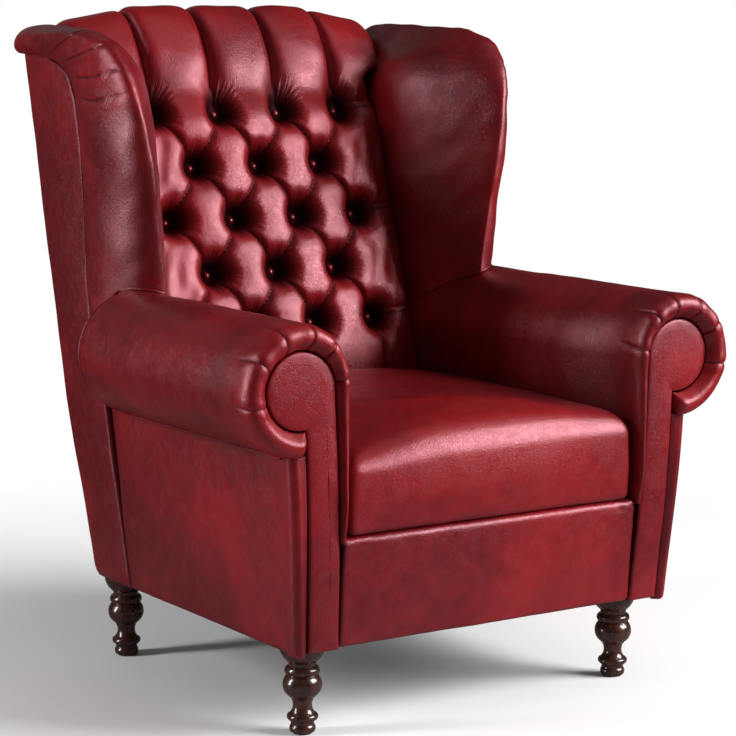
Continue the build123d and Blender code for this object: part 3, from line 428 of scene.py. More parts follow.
def back_puff(x, s, end, over_roll):
    """Swell of the skin between its folds, and how full the padding is, with round outer channels."""
    pinned = np.zeros(x.shape, bool)
    for line in fold_lines(s[0, 0], s[-1, 0]):
        pinned |= distance_to_line(x, s, line) < PIN_SHARE * BACK_STEP
    pinned[:, 0] = pinned[:, -1] = True
    swell = np.sqrt(2 * blown_up(pinned, BACK_STEP))
    tightness = TUFT_TIGHTNESS + (CHANNEL_TIGHTNESS - TUFT_TIGHTNESS) * over_roll
    tightness = tightness + CHANNEL_FOOT_TIGHTNESS * hump(s, CHANNEL_FOOT, CHANNEL_FOOT_REACH)
    puff = puffed((swell / tightness) ** 2)
    width = END_CHANNEL_SHARE * end * TUFT_SPACING
    end_puff = puffed(width * (TUFT_SPACING - width) / CHANNEL_TIGHTNESS**2)
    end_puff = end_puff * np.sqrt(1 - np.clip((end - 1 + END_ROUND_SHARE) / END_ROUND_SHARE, 0, 1) ** 2)
    at_end = smooth_step(s / ROLL_START) * (end > 0)
    return swell, softened(puff + (end_puff - puff) * at_end, 2)


def from_buttons(x, s):
    """Distance from the nearest button, and the heading from it that the fine creases follow."""
    to_button = np.full(x.shape, 1e3)
    ray = np.zeros(x.shape + (3,))
    for place_x, place_s in button_places():
        across, above = x - place_x, s - place_s
        stretch = POCKET_TOP_STRETCH if place_s == 0 else POCKET_STRETCH
        away = np.hypot(across, above / np.where(above > 0, stretch, 1.0))
        nearer = away < to_button
        to_button = np.where(nearer, away, to_button)
        heading = [across / np.maximum(away, 1), above / np.maximum(away, 1), away / RAY_LENGTH]
        ray[nearer] = np.stack(heading, -1)[nearer]
    return to_button, ray


def back_height(x, s, puff, to_button, over_roll):
    """How far the padding stands out, less in its folds, at its buttons and where it is tucked in."""
    fold_share = np.interp(s, (*FOLD_PLACES, ROLL_START + ROLL_LENGTH), FOLD_SHARES)
    beside = (np.abs(x) > OUTER_X) & (s < TUFT_PITCH / 3)
    above_fold = s - 2 * TUFT_PITCH * np.round(s / TUFT_PITCH / 2)
    side_fold = SIDE_FOLD_SHARE * hump(above_fold, 0, SIDE_FOLD_WIDTH)
    fold_share = np.where(beside, fold_share + side_fold, fold_share)
    crest = TUFT_DEPTH + (CHANNEL_HEIGHT - TUFT_DEPTH) * over_roll
    pocket = np.exp(-((to_button / POCKET_REACH) ** 2.4))
    height = crest * (fold_share + (1 - fold_share) * puff) * (1 - pocket)
    tuck = TUCK_DEPTH * fading(np.abs(above_fold - TUCK_ABOVE), TUCK_WIDTH)
    height = height - np.where(beside, tuck, 0) * smooth_step((np.abs(x) - OUTER_X) / 18)
    flat = np.stack([x, s, 0 * x], -1)
    slack = smooth_step((np.abs(x) - 150) / 50) * (s < 20)
    height = height + 1.6 * slack * puff * ripples(flat, 34, 5, (1.0, 0.45, 1))
    return height + 0.7 * puff * ripples(flat, 55, 8)


def inside_back():
    """The buttoned and channelled back, from the seat up and over the top roll."""
    path, lengths = back_spine()
    up = np.arange(lengths[0], lengths[-1], BACK_STEP)
    blend_share = np.ones(SPINE_BLEND) / SPINE_BLEND
    spine = []
    for values in path.T:
        wide = np.pad(np.interp(up, lengths, values), SPINE_BLEND // 2, mode="reflect", reflect_type="odd")
        spine.append(np.convolve(wide, blend_share, "valid"))
    spine = np.stack(spine, 1)
    along = np.gradient(spine, axis=0)
    along /= np.linalg.norm(along, axis=1, keepdims=True)

    x, s = np.meshgrid(np.linspace(-BACK_HALF, BACK_HALF, 2 * round(BACK_HALF / BACK_STEP) + 1), up)
    over_roll = smooth_step((s + 20) / (ROLL_START + 20))
    end = np.clip((np.abs(x) - OUTER_X) / (BACK_HALF - OUTER_X), 0, 1)
    swell, puff = back_puff(x, s, end, over_roll)
    to_button, ray = from_buttons(x, s)
    height = back_height(x, s, puff, to_button, over_roll)

    shoulder = smooth_step((spine[:, 1] + CHANNEL_HEIGHT - SHOULDER_Z) / 30)[:, None]
    wide_x = x + np.sign(x) * (BACK_SHOULDER_HALF - BACK_HALF) * end * shoulder
    sag = TUFT_SAG * puff * (1 - over_roll)
    drop = ROLL_END_DROP * end**0.6 * smooth_step((s - ROLL_START) / ROLL_LENGTH)
    out_y, up_z = along[:, None, 0], along[:, None, 1]
    y = spine[:, None, 0] + PLANE_BOW * x**2 - up_z * height - out_y * sag
    z = spine[:, None, 1] + out_y * height - up_z * sag - drop
    rear = []
    for rear_z, inward, share in (
        (ROLL_REAR_TOP, 6.0, 1.0),
        (SIDE_TOP_Z, ROLL_REAR_IN, BACK_HALF / BACK_SHOULDER_HALF),
        (LUMBAR_BOTTOM, ROLL_REAR_IN, BACK_HALF / BACK_SHOULDER_HALF),
    ):
        rear.append([(a * share, back_y(rear_z) - inward, rear_z) for a in wide_x[-1]])
    rings = np.concatenate([np.stack([wide_x, y, z], -1), rear]).swapaxes(0, 1)

    def padded_out(values):
        return np.concatenate([values, np.zeros((len(rear),) + values.shape[1:])]).swapaxes(0, 1)

    beside_rays = smooth_step((RAY_OUTSIDE - to_button) / 30) * smooth_step((to_button - RAY_INSIDE) / 10)
    return ringed(
        "inside_back",
        rings,
        # Painted shade in the folds and in the pockets round the buttons.
        fold=padded_out(np.maximum(0.7 * fading(swell, 3.0), smooth_step((40 - to_button) / 26))),
        rub=padded_out(puff * (0.8 - 0.4 * smooth_step((s + 40) / 90) + 0.4 * smooth_step((s - 80) / 120))),
        near=padded_out(beside_rays * (0.35 + 0.65 * smooth_step(0.5 + ray[..., 0]))),
        ray=padded_out(ray),
    )


def button_tree():
    """Sets one domed, leather-covered button on each point."""
    sizes = {"Radius": "Float", "Flatness": "Float", "Turn": "Rotation"}
    tree, given, result = geometry_tree("covered_buttons", sizes)
    dome = node(tree, "GeometryNodeMeshUVSphere", {"Segments": 28, "Rings": 14, "Radius": given["Radius"]})
    flat = node(tree, "ShaderNodeCombineXYZ", {"X": 1.0, "Y": 1.0, "Z": given["Flatness"]})
    pressed = node(tree, "GeometryNodeTransform", {"Geometry": dome, "Scale": flat})
    links = {"Points": given["Geometry"], "Instance": pressed, "Rotation": given["Turn"]}
    placed = node(tree, "GeometryNodeInstanceOnPoints", links)
    real = node(tree, "GeometryNodeRealizeInstances", {"Geometry": placed})
    return end_tree(tree, given, result, real)


def buttons(material):
    path, lengths = back_spine()
    places = []
    for x, s in button_places():
        y, z = (np.interp(s, lengths, values) for values in path.T)
        places.append((x, y + PLANE_BOW * x**2 - 1.0, z))
    base = new_object("button_points", new_mesh("button_points", places))
    outward = Vector((0, -math.cos(TUFT_LEAN), math.sin(TUFT_LEAN)))
    return grown(
        "covered_buttons", base, button_tree(),
        Radius=BUTTON_RADIUS * MM,
        Flatness=BUTTON_HEIGHT / BUTTON_RADIUS,
        Turn=outward.to_track_quat("Z", "Y").to_euler(),
        Finish=material,
    )


# Wings: a padded roll round the edge, with the inside face behind it

# Stations from the arm up the front, round the corner and back along the top. Each row is the roll's
# front or top edge (y, z), the outside seam (y, z), the inside end (y, z), then the X of the edge, of the
# seam, of the inside end and of the roll's outermost line, how far that lies behind the edge, and the
# fullness of the inside face next to the edge.
WING_STATIONS = [
    (450, 545, 583, 520, 632, 515, 303, 366, 257, 367, 125, 10),
    (447, 640, 599, 625, 655, 615, 307, 367, 257, 369, 122, 26),
    (441, 740, 604, 740, 684, 725, 321, 369, 257, 371, 110, 46),
    (436, 830, 609, 845, 712, 815, 334, 370, 257, 375, 95, 58),
    (444, 910, 622, 915, 726, 878, 349, 371, 255, 379, 80, 82),
    (464, 962, 645, 953, 738, 925, 358, 372, 262, 381, 60, 128),
    (502, 1003, 676, 970, 750, 950, 359, 372, 276, 381, 42, 96),
    (580, 1023, 720, 978, 770, 966, 355, 372, 289, 381, 33, 48),
    (680, 1028, 765, 983, 792, 972, 345, 372, 291, 381, 31, 52),
    (775, 1033, 808, 985, 815, 974, 336, 372, 291, 380, 30, 52),
    (848, 1029, 848, 986, 848, 975, 332, 371, 291, 377, 29, 52),
]
WING_PLEATS, WING_PLEAT_SKEW, WING_PLEAT_DEPTH = (4.25, 5.0, 6.0, 7.0), 5.0, 2.8
WING_CORNER_START, WING_CORNER_END = 3.6, 7.4
WING_RINGS, WING_OUTER, WING_NOSE, WING_INNER = 380, 34, 18, 60
WING_TAIL_SHARE, WING_FACE_PAD, WING_FACE_REACH = 0.05, 28.0, 260.0
WING_LIP, WING_LIP_WIDTH, WING_LIP_IN = 4.0, 5.0, 3.0
WING_FOOT_REACH, WING_FOOT_ABOVE = 2.2, 1.0


def wing_skin(at, w):
    """Points of the wing's skin: at runs along its edge, w from the outside seam (0) round the roll
    (1 to 2) to the inside end (3)."""
    rows = through(WING_STATIONS, at)
    edge, seam, inner = rows[..., 0:2], rows[..., 2:4], rows[..., 4:6]
    edge_x, seam_x, inner_x, out_x, back_run, fullness = (rows[..., 6 + i] for i in range(6))
    reach = np.linalg.norm(inner - edge, axis=-1)
    inward = (inner - edge) / reach[..., None]
    outermost = edge + back_run[..., None] * inward

    t = np.clip(w, 0, 1)
    run = np.linalg.norm(outermost - seam, axis=-1)
    outer = run_between(t[..., None], seam, outermost, outermost - seam, -inward * run[..., None])
    lip = WING_LIP * (1 - fading(t * run, WING_LIP_WIDTH)) - WING_LIP_IN
    outer_x = seam_x + (out_x - seam_x) * (2 * t - t**2) + lip * (1 - t)

    turn = np.clip(w - 1, 0, 1) * math.pi / 2
    t = np.clip(w - 2, 0, 1)
    depth = run_between(t, 0, reach, 0, 0.9 * reach)
    side = run_between(t, 0, edge_x - inner_x, fullness, 0.05 * reach)
    swell = np.maximum(np.sin(math.pi * t**1.5), 0) ** 1.5
    side = side + WING_FACE_PAD * swell * np.minimum(reach / WING_FACE_REACH, 1) ** 2
    depth = np.where(w < 2, back_run * (1 - np.sin(turn)), depth)
    side = np.where(w < 2, -(out_x - edge_x) * np.cos(turn), side)
    inside = edge + inward * depth[..., None]
    flat = np.where((w < 1)[..., None], outer, inside)
    return np.stack([np.where(w < 1, outer_x, edge_x - side), flat[..., 0], flat[..., 1]], -1)


def arm_end_share(x):
    """How much of the arm's round rear end a place has: none on the inside, all outside."""
    return smooth_step((x - ARM_X) / ARM_END_BLEND)


def arm_top(x, y):
    """Height of the arm roll's upper side."""
    back = np.maximum(y - ARM_END_START, 0) * arm_end_share(x) * ARM_RADIUS / ARM_END_ROUND
    return ARM_Z + np.sqrt(np.maximum(ARM_RADIUS**2 - (x - ARM_X) ** 2 - back**2, 0))


def wing_foot(w):
    """Where along the wing its skin meets the arm, for each place across it."""
    trial = np.linspace(0, WING_FOOT_REACH, 120)
    at, across = np.meshgrid(trial, w, indexing="ij")
    points = wing_skin(at, across)
    above = points[..., 2] > arm_top(points[..., 0], points[..., 1]) + WING_FOOT_ABOVE
    first = np.argmax(above & (np.cumsum(~above[::-1], 0)[::-1] == 0), 0)
    return softened(trial[first][None, :], 6)[0]


def wing(name, sign):
    """The padded wing, pleated round its top corner."""
    w = np.concatenate([
        np.linspace(0, 1, WING_OUTER, endpoint=False) ** 1.25,
        np.linspace(1, 2, WING_NOSE, endpoint=False),
        np.linspace(2, 3, WING_INNER),
    ])
    even = np.linspace(0, len(WING_STATIONS) - 1, 800)
    length = lengths_along(through(WING_STATIONS, even)[:, 0:2])
    begin = np.interp(wing_foot(w), even, length)
    shares = np.linspace(0, 1, WING_RINGS)
    at = np.interp(begin + shares[:, None] * (length[-1] - begin), length, even)
    across = np.broadcast_to(w, at.shape)
    points = wing_skin(at, across)
    nose = WING_OUTER + WING_NOSE // 2
    normals = surface_normals(points)
    normals *= -np.sign((normals[:, nose, 1:] * (points[:, -1, 1:] - points[:, nose, 1:])).sum())

    push = 1.2 * ripples(points, 150, 21) + 0.5 * ripples(points, 48, 22)
    over = smooth_step((across - 0.05) / 0.5) * smooth_step((2.35 - across) / 0.6)
    along_edge = np.interp(at, even, length)
    crease = np.zeros(at.shape)
    for number, pleat in enumerate(WING_PLEATS):
        away = np.abs(along_edge - np.interp(pleat, even, length) - WING_PLEAT_SKEW * (across - 1))
        length_share = smooth_step((1.75 + 0.2 * (number % 2) - across) / 0.5) * over
        crease = np.maximum(crease, fading(away, PLEAT_WIDTH) * length_share)
        push = push + 0.9 * hump(away, 10, PLEAT_PUFF_WIDTH) * over
    push = push - WING_PLEAT_DEPTH * crease
    corner = smooth_step((at - WING_CORNER_START) / 0.6) * smooth_step((WING_CORNER_END - at) / 0.6) * over
    points = points + normals * push[..., None]
    tail = np.clip((shares - 1 + WING_TAIL_SHARE) / WING_TAIL_SHARE, 0, 1)
    shrink = np.maximum(1 - tail**2.2, 0.005)[:, None, None] ** 0.5
    centre = (points.max(1, keepdims=True) + points.min(1, keepdims=True)) / 2
    points = centre + (points - centre) * shrink
    # Painted shade in the pleats and along the outside seam.
    fold = np.maximum(0.9 * crease, 0.9 * fading(across, 0.04))
    return ringed(name, points, sign, fold=fold, rub=0.5 * corner * (1 - crease))


# Arms: a roll that ends in a pleated ring round the facing

def arm_contours(inner_radius, side_line):
    """Outer contour of the arm and the facing's groove beside it, from the neck under the roll, round it
    and down the inside, and the angle round the roll at each of their points."""
    turn = np.radians(np.linspace(-90, 180, 226))
    outer = arc(ARM_X, ARM_Z, np.where(turn > math.pi / 2, inner_radius, ARM_RADIUS), turn, ARM_RADIUS)
    groove = arc(ARM_X, ARM_Z, FACING_RADIUS + FACING_GROOVE, np.radians(np.linspace(-97, 180, 226)))
    side = through(side_line, np.linspace(0, 1, 61)[1:] * (len(side_line) - 1))
    stem_z = np.linspace(ARM_Z, ARM_BOTTOM, 61)[1:]
    up_share = (stem_z - BODY_BOTTOM) / (ARM_Z - BODY_BOTTOM)
    stem_x = STEM_INNER_X + (ARM_X - FACING_RADIUS - STEM_INNER_X) * up_share
    stem = np.stack([stem_x - FACING_GROOVE, stem_z], 1)
    angle = np.concatenate([np.degrees(turn), np.full(len(side), 180.0)])
    return np.concatenate([outer, side]), np.concatenate([groove, stem]), angle


def arm(name, sign):
    """The padded arm, from the groove round its facing back to the wing."""
    outer, groove, angle = arm_contours(ARM_RADIUS, ARM_SIDE)
    front = arm_contours(ARM_FRONT_INNER, ARM_FRONT_SIDE)[0]
    reach = np.linalg.norm(front - groove, axis=1)
    none = np.zeros_like(reach)
    start = np.linalg.norm(outer - outer[0], axis=1)
    low_end = np.where(angle < 0, np.sqrt(np.clip(1 - (1 - np.clip(start / 16, 0, 1)) ** 2, 0, 1)), 1)
    bulge = RING_BULGE * np.clip(reach / RING_REACH, 0, 1) * low_end

    # Each row is its share of the way from groove to contour, its y, and how much of the groove's painted
    # shade it takes
    rows = [(none, none + y, 1.0) for y in (GROOVE_Y, GROOVE_Y / 2)]
    for share in np.linspace(0, 1, 11)[:-1]:
        y = RING_LIP - (RING_LIP + bulge) * math.sin(share * math.pi / 2)
        rows.append((none + share / 2, y, float(share == 0)))
    for turn in np.linspace(0, math.pi / 2, 11):
        y = -bulge + (RING_BACK_Y + bulge) * (1 - math.cos(turn) ** RING_SQUARENESS)
        rows.append((none + 0.5 + 0.5 * math.sin(turn) ** RING_SQUARENESS, y, 0.0))
    fine = np.arange(RING_BACK_Y + FINE_STEP, FINE_END, FINE_STEP)
    for y in np.concatenate([fine, np.arange(COARSE_START, ARM_END_START, COARSE_STEP)]):
        rows.append((none + 1, none + y, 0.0))
    points = []
    for share, y, _ in rows:
        edge = outer + (front - outer) * smooth_step((ARM_FRONT_BLEND_Y - y) / ARM_FRONT_BLEND)[:, None]
        flat = groove + (edge - groove) * share[:, None]
        points.append(np.stack([flat[:, 0], y, flat[:, 1]], 1))
    depth = [row[2] for row in rows]

    centre = np.array([ARM_X, ARM_Z])
    end_share = np.where(angle < 0, 1.0, arm_end_share(ARM_X + np.cos(np.radians(angle)) * ARM_RADIUS))
    for turn in np.radians(np.linspace(0, 87, 22)):
        shrink = np.where(angle < 180, 1 - end_share * (1 - math.cos(turn)), 1)
        flat = centre + (outer - centre) * shrink[:, None]
        run = ARM_END_ROUND + (1 - end_share) * (ARM_REAR_Y - ARM_END_Y)
        points.append(np.stack([flat[:, 0], ARM_END_START + math.sin(turn) * run, flat[:, 1]], 1))
        depth.append(0.0)
    points = np.array(points)
    depth = np.array(depth)[:, None] * np.ones(points.shape[1])

    normals = surface_normals(points)
    probe = (points - [ARM_X, 0, ARM_Z]) * [1, 0, 1]
    normals *= np.sign((normals * probe)[40:60, 20:200].sum())
    y = points[..., 1]
    round_roll = np.radians(angle)[None, :] * ARM_RADIUS
    crease = np.zeros(points.shape[:2])
    push = 0.8 * ripples(points, 170, 31) + 0.25 * ripples(points, 52, 32)
    for number, pleat in enumerate(RING_PLEATS):
        skew = (y + 10) * RING_PLEAT_SKEW * (1 if number % 2 else -1)
        away = np.abs(round_roll - math.radians(pleat) * ARM_RADIUS + skew)
        length = smooth_step((RING_PLEAT_LENGTH + 9 * (number % 3) - y) / RING_PLEAT_LENGTH)
        crease = np.maximum(crease, fading(away, PLEAT_WIDTH) * length * (angle < 180))
        push = push + hump(away, 11, PLEAT_PUFF_WIDTH) * length
    # Painted shade along the seam under the roll, where it meets the outside panel.
    under = fading(np.abs(round_roll - math.radians(UNDER_SEAM) * ARM_RADIUS), UNDER_SEAM_WIDTH)
    under = under * smooth_step((y - 6) / 12)
    push = (push - 3.0 * crease) * (np.arange(len(points)) > 2)[:, None]
    points = points + normals * push[..., None] * low_end[None, :, None]

    rows_y = np.maximum(y[:, 0], ARM_HIDDEN_Y)
    hidden = [[(inner_x, row_y, inner_z) for inner_x, inner_z in ARM_HIDDEN] for row_y in rows_y]
    beyond = ((0, 0), (0, len(ARM_HIDDEN)))
    return ringed(
        name,
        leaned(np.concatenate([points, hidden], 1)),
        sign,
        # Painted shade in the ring's pleats, under the roll and in the groove round the facing.
        fold=np.pad(np.maximum(np.maximum(0.8 * crease, under), depth), beyond),
        rub=np.pad(0.5 * smooth_step((40 - y) / 50) * (1 - depth), beyond),
    )


def keyhole(grow):
    """The facing's outline, a stem under a round head."""
    radius = FACING_RADIUS + grow
    neck = math.acos((NECK_X + grow - ARM_X) / radius)
    head = arc(ARM_X, ARM_Z, radius, np.linspace(-neck, math.pi, 120))
    bottom = BODY_BOTTOM - min(grow, 0)
    inner = np.linspace(head[-1], (STEM_INNER_X - grow, bottom), 50)[1:]
    foot = np.linspace(inner[-1], (STEM_OUTER_X + grow, bottom), 14)[1:]
    outer = np.linspace(foot[-1], head[0], 50)[1:-1]
    return np.concatenate([head, inner, foot, outer])


def facing(name, sign):
    """Flat padded panel let into the arm's front."""
    rings = []
    for grow, y, _ in FACING_STEPS:
        outline = keyhole(grow)
        rings.append(np.stack([outline[:, 0], np.full(len(outline), float(y)), outline[:, 1]], 1))
    rings = np.array(rings)
    soft = 0.5 * ripples(rings, 90, 41) + 0.25 * ripples(rings, 30, 42)
    rings[2:, :, 1] += soft[2:]
    # Painted shade in the groove round the facing.
    shade = 0.8 * np.array(FACING_STEPS)[:, 2:] * np.ones(rings.shape[1])
    return ringed(name, leaned(rings), sign, fold=shade, rub=np.full(shade.shape, 0.35))


def welt_tree():
    """Turns a line of edges into a round welt."""
    tree, given, result = geometry_tree("round_welt", {"Radius": "Float"})
    line = node(tree, "GeometryNodeMeshToCurve", {"Mesh": given["Geometry"]})
    ring = node(tree, "GeometryNodeCurvePrimitiveCircle", {"Resolution": 10, "Radius": given["Radius"]})
    links = {"Curve": line, "Profile Curve": ring, "Fill Caps": True}
    return end_tree(tree, given, result, node(tree, "GeometryNodeCurveToMesh", links))


def arm_end_radius(y):
    """Radius of the arm roll at its rounded rear end."""
    share = np.clip((y - ARM_END_START) / ARM_END_ROUND, 0, 1)
    return ARM_RADIUS * np.sqrt(1 - share**2)


def arm_welt(name, sign):
    """Welt from the wing's foot over the arm, round the arm's rear end and forward under its roll."""
    w = np.linspace(WELT_ACROSS_START, WELT_ACROSS_END, 60)
    foot = wing_skin(wing_foot(w), w) + [0, 0, 0.5]
    turn = np.radians(np.linspace(WELT_TURN, WELT_UNDER_TURN, 60))
    y = np.concatenate([np.full(60, WELT_Y), np.linspace(WELT_Y, WELT_FRONT_Y, 80)])
    turn = np.concatenate([turn, np.full(80, turn[-1])])
    radius = arm_end_radius(y) + WELT_OUT
    under = np.stack([ARM_X + radius * np.cos(turn), y, ARM_Z + radius * np.sin(turn)], 1)
    line = np.concatenate([foot, under])
    length = lengths_along(line)
    even = np.arange(0, length[-1], WELT_STEP)
    line = np.stack([np.interp(even, length, values) for values in line.T], 1)
    for _ in range(6):
        line[1:-1] = (line[:-2] + 2 * line[1:-1] + line[2:]) / 4
    line = leaned(line)
    line[:, 0] *= sign
    number = np.arange(len(line))
    edges = np.stack([number[:-1], number[1:]], 1).tolist()
    base = new_object(name + "_line", new_mesh(name + "_line", line, edges))
    return grown(name, base, WELT_TREE, Radius=WELT_RADIUS * MM, Finish=leather)


# Outside panels

def panel_seam_y(z):
    """Seam between the outside arm and the panel behind it."""
    return PANEL_SEAM_Y + (z - BODY_BOTTOM) * PANEL_SEAM_SLOPE


def outside_arm(name, sign):
    """Smooth panel under the arm's roll, turned round the front corner to the facing."""
    rings = []
    edges = []
    swing = np.radians(np.linspace(90, 0, 12))
    run = np.linspace(0, 1, 62)[1:]
    skin_start = 5
    skin_middle, skin_end = skin_start + len(swing) // 2, skin_start + len(swing) + 1
    for number, level in enumerate(np.concatenate([ARM_PANEL_FOOT_LEVELS, np.linspace(0.04, 1, 60)])):
        low_z = BODY_BOTTOM + level * (SIDE_ARM_Z + 4 - BODY_BOTTOM)
        up_share = (low_z - BODY_BOTTOM) / (ARM_Z - BODY_BOTTOM)
        facing_x = STEM_OUTER_X + (NECK_X - STEM_OUTER_X) * up_share + 1.2
        x = float(side_x(low_z))
        width = x - facing_x
        turned = min(ARM_PANEL_BEND, 0.8 * width)
        front_y = 5.0 - 5.5 * min(width / 20, 1)
        rear = panel_seam_y(low_z)
        lip = [(facing_x, 18.0), (facing_x, 8.0), (facing_x + 0.8, 5.0)]
        lip += [(facing_x + 3.0, 3.4 + front_y / 3), (x - turned - 0.5, front_y + 0.2)]
        corner = arc(x - turned, front_y + turned, turned, -swing)
        belly = ARM_PANEL_BELLY * np.sin(math.pi * run) * np.sin(math.pi * level) ** 0.7
        face = np.stack([x + belly, corner[-1, 1] + (rear - corner[-1, 1]) * run], 1)
        face[-2:, 0] -= (0.3, 1.2)
        inner = [(x - ARM_PANEL_THICK, rear), (x - ARM_PANEL_THICK, 40.0), (facing_x + 8, 20.0)]
        outline = np.concatenate([lip, corner, face, inner])
        if number < len(ARM_PANEL_FOOT_PULLS):
            outline[skin_middle:-3, 0] -= ARM_PANEL_FOOT_PULLS[number]
            outline[2:skin_end, 1] += ARM_PANEL_FOOT_PULLS[number]
        x, y = outline.T
        back = np.maximum(y - ARM_END_START, 0) * ARM_RADIUS / ARM_END_ROUND
        top = ARM_Z + 3 - np.sqrt(np.maximum(ARM_RADIUS**2 - 20**2 - back**2, 0))
        sag = 6.0 * hump(y, 0, 25) * (1 - level) ** 6
        rings.append(np.stack([x, y, BODY_BOTTOM + level * (top - BODY_BOTTOM) - sag], 1))
        # Painted shade along the facing, under the arm roll and at the rear seam.
        near_facing = fading(np.maximum(x - facing_x, 0), 2.5) * (y < 30)
        near_arm = fading((1 - level) * (top - BODY_BOTTOM), 5.0)
        edges.append(np.maximum(np.maximum(0.5 * fading(rear - y, 2.0), near_arm), near_facing))
    rings = np.array(rings)
    ridge = 0.5 * ripples(rings, 140, 51) + 0.2 * ripples(rings, 45, 52)
    rings[:, skin_end:-4, 0] += ridge[:, skin_end:-4]
    rings = leaned(rings)
    rub = 1.1 * hump(rings[..., 1], 210, 105) * hump(rings[..., 2], 320, 90)
    return ringed(name, rings, sign, fold=0.8 * np.array(edges), rub=rub)


def outside_wing(name, sign):
    """Outside of the wing and of the body behind the arm, turned round the rear corner."""
    seam_z, seam_y = ([row[column] for row in WING_STATIONS[:8]] for column in (3, 2))
    run = np.linspace(0, 1, 36)
    turn = np.radians(np.linspace(0, 90, 13))[1:]
    bend = WING_PANEL_BEND
    skin_end = len(run) + len(turn)
    rings = []
    edges = []
    for z in np.concatenate([np.linspace(BODY_BOTTOM, 520, 50), np.linspace(528, WING_PANEL_TOP, 60)]):
        front = panel_seam_y(z) + PANEL_SEAM_GAP if z < 530 else np.interp(z, seam_z, seam_y) - PANEL_SEAM_GAP
        rear = float(back_y(z)) - 1
        x = float(side_x(z))
        y = front + (rear - bend - front) * run
        edge = fading(y - front, 2.5)
        face = np.stack([x + WING_PANEL_BELLY * np.sin(math.pi * run) - 1.5 * edge, y], 1)
        corner = arc(x - bend, rear - bend, bend, turn)
        back_x = min(WING_PANEL_INNER_X, x - bend)
        back = [(back_x, rear), (back_x - 3.0, rear - 3.0), (back_x - 3.0, rear - 12)]
        inner_x = x - WING_PANEL_THICK
        inner = [(inner_x, rear - bend - 6), (inner_x, front + 2), (x - 9, front)]
        outline = np.concatenate([face, corner, back, inner])
        rings.append(np.column_stack([outline, np.full(len(outline), z)]))
        # Painted shade along the panel's front seam and at its rear edge.
        shade = edge * (0.4 if z < 520 else 1.0)
        edges.append(np.concatenate([shade, np.zeros(len(corner)), (0.5, 1.0, 1.0), np.zeros(3)]))
    rings = np.array(rings)
    for row, pull in enumerate(WING_PANEL_FOOT_PULLS):
        rings[row, :skin_end, 0] -= pull
    swell = 0.8 * ripples(rings, 150, 61) + 0.25 * ripples(rings, 50, 62)
    rings[:, 1 : skin_end - 1, 0] += swell[:, 1 : skin_end - 1]
    return ringed(name, rings, sign, fold=0.8 * np.array(edges), rub=np.zeros(rings.shape[:2]))


def outside_back():
    """Slightly full panel over the back of the frame."""
    corners, faces = block_skin((74, 6, 96))
    low, high = BODY_BOTTOM + 1, REAR_PANEL_TOP
    shape = rounded(corners, (REAR_PANEL_HALF, REAR_PANEL_THICK / 2, (high - low) / 2), 4.5)
    z = (low + high) / 2 + shape[:, 2]
    narrow = 1 - (1 - REAR_PANEL_TOP_HALF / REAR_PANEL_HALF) * smooth_step((z - REAR_PANEL_NECK_Z) / 8)
    x = shape[:, 0] * narrow
    outer = corners[:, 1] > 0
    upright = np.sin(math.pi * np.clip((z - low) / (high - low), 0, 1)) ** 0.5
    full = REAR_PANEL_FULL * (1 - (x / REAR_PANEL_HALF) ** 4) * upright
    y = back_y(z) - REAR_PANEL_THICK / 2 + shape[:, 1] + np.where(outer, full, 0)
    points = np.stack([x, y, z], 1)
    points[:, 1] += outer * (0.8 * ripples(points, 170, 71) + 0.3 * ripples(points, 60, 72))
    from_edge = np.minimum(REAR_PANEL_HALF * narrow - np.abs(x), np.minimum(z - low, high - z))
    # Painted shade along the panel's edges.
    shade = 0.8 * fading(from_edge, 5.0)
    return mesh_object("outside_back_panel", points, faces, fold=shade, rub=np.zeros(len(x)))


# Seat

def front_border():
    """Padded band across the front under the cushion."""
    corners, faces = block_skin((110, 6, 44))
    half_z = (BORDER_TOP - BODY_BOTTOM) / 2
    shape = rounded(corners, (BORDER_HALF, BORDER_THICK / 2, half_z), 9.0, 7.0)
    x, z = shape[:, 0], BODY_BOTTOM + half_z + shape[:, 2]
    front = corners[:, 1] < 0
    full = np.clip(1 - ((z - BODY_BOTTOM - half_z - 12) / half_z) ** 4, 0, 1)
    full = BORDER_FULL * (1 - (x / BORDER_HALF) ** 6) * full
    points = np.stack([x, BORDER_Y + shape[:, 1] - np.where(front, full, 0), z], 1)
    corner = fading(BORDER_HALF - np.abs(x), BORDER_FOLD_REACH) * fading(BORDER_TOP - z, BORDER_FOLD_REACH)
    folds = BORDER_FOLD * corner * ripples(np.stack([x + z * np.sign(x), 0 * x, z], 1), 22, 81)
    points[:, 1] += front * (folds + 0.8 * ripples(points, 120, 82) + 0.25 * ripples(points, 40, 83))
    # Painted shade at the band's ends and along its foot.
    shade = 0.7 * fading(np.minimum(BORDER_HALF - np.abs(x), z - BODY_BOTTOM), 2.0)
    points = leaned(points, BORDER_LEAN_REAR)
    return mesh_object("front_border_pad", points, faces, fold=shade, rub=np.full(len(x), 0.35))


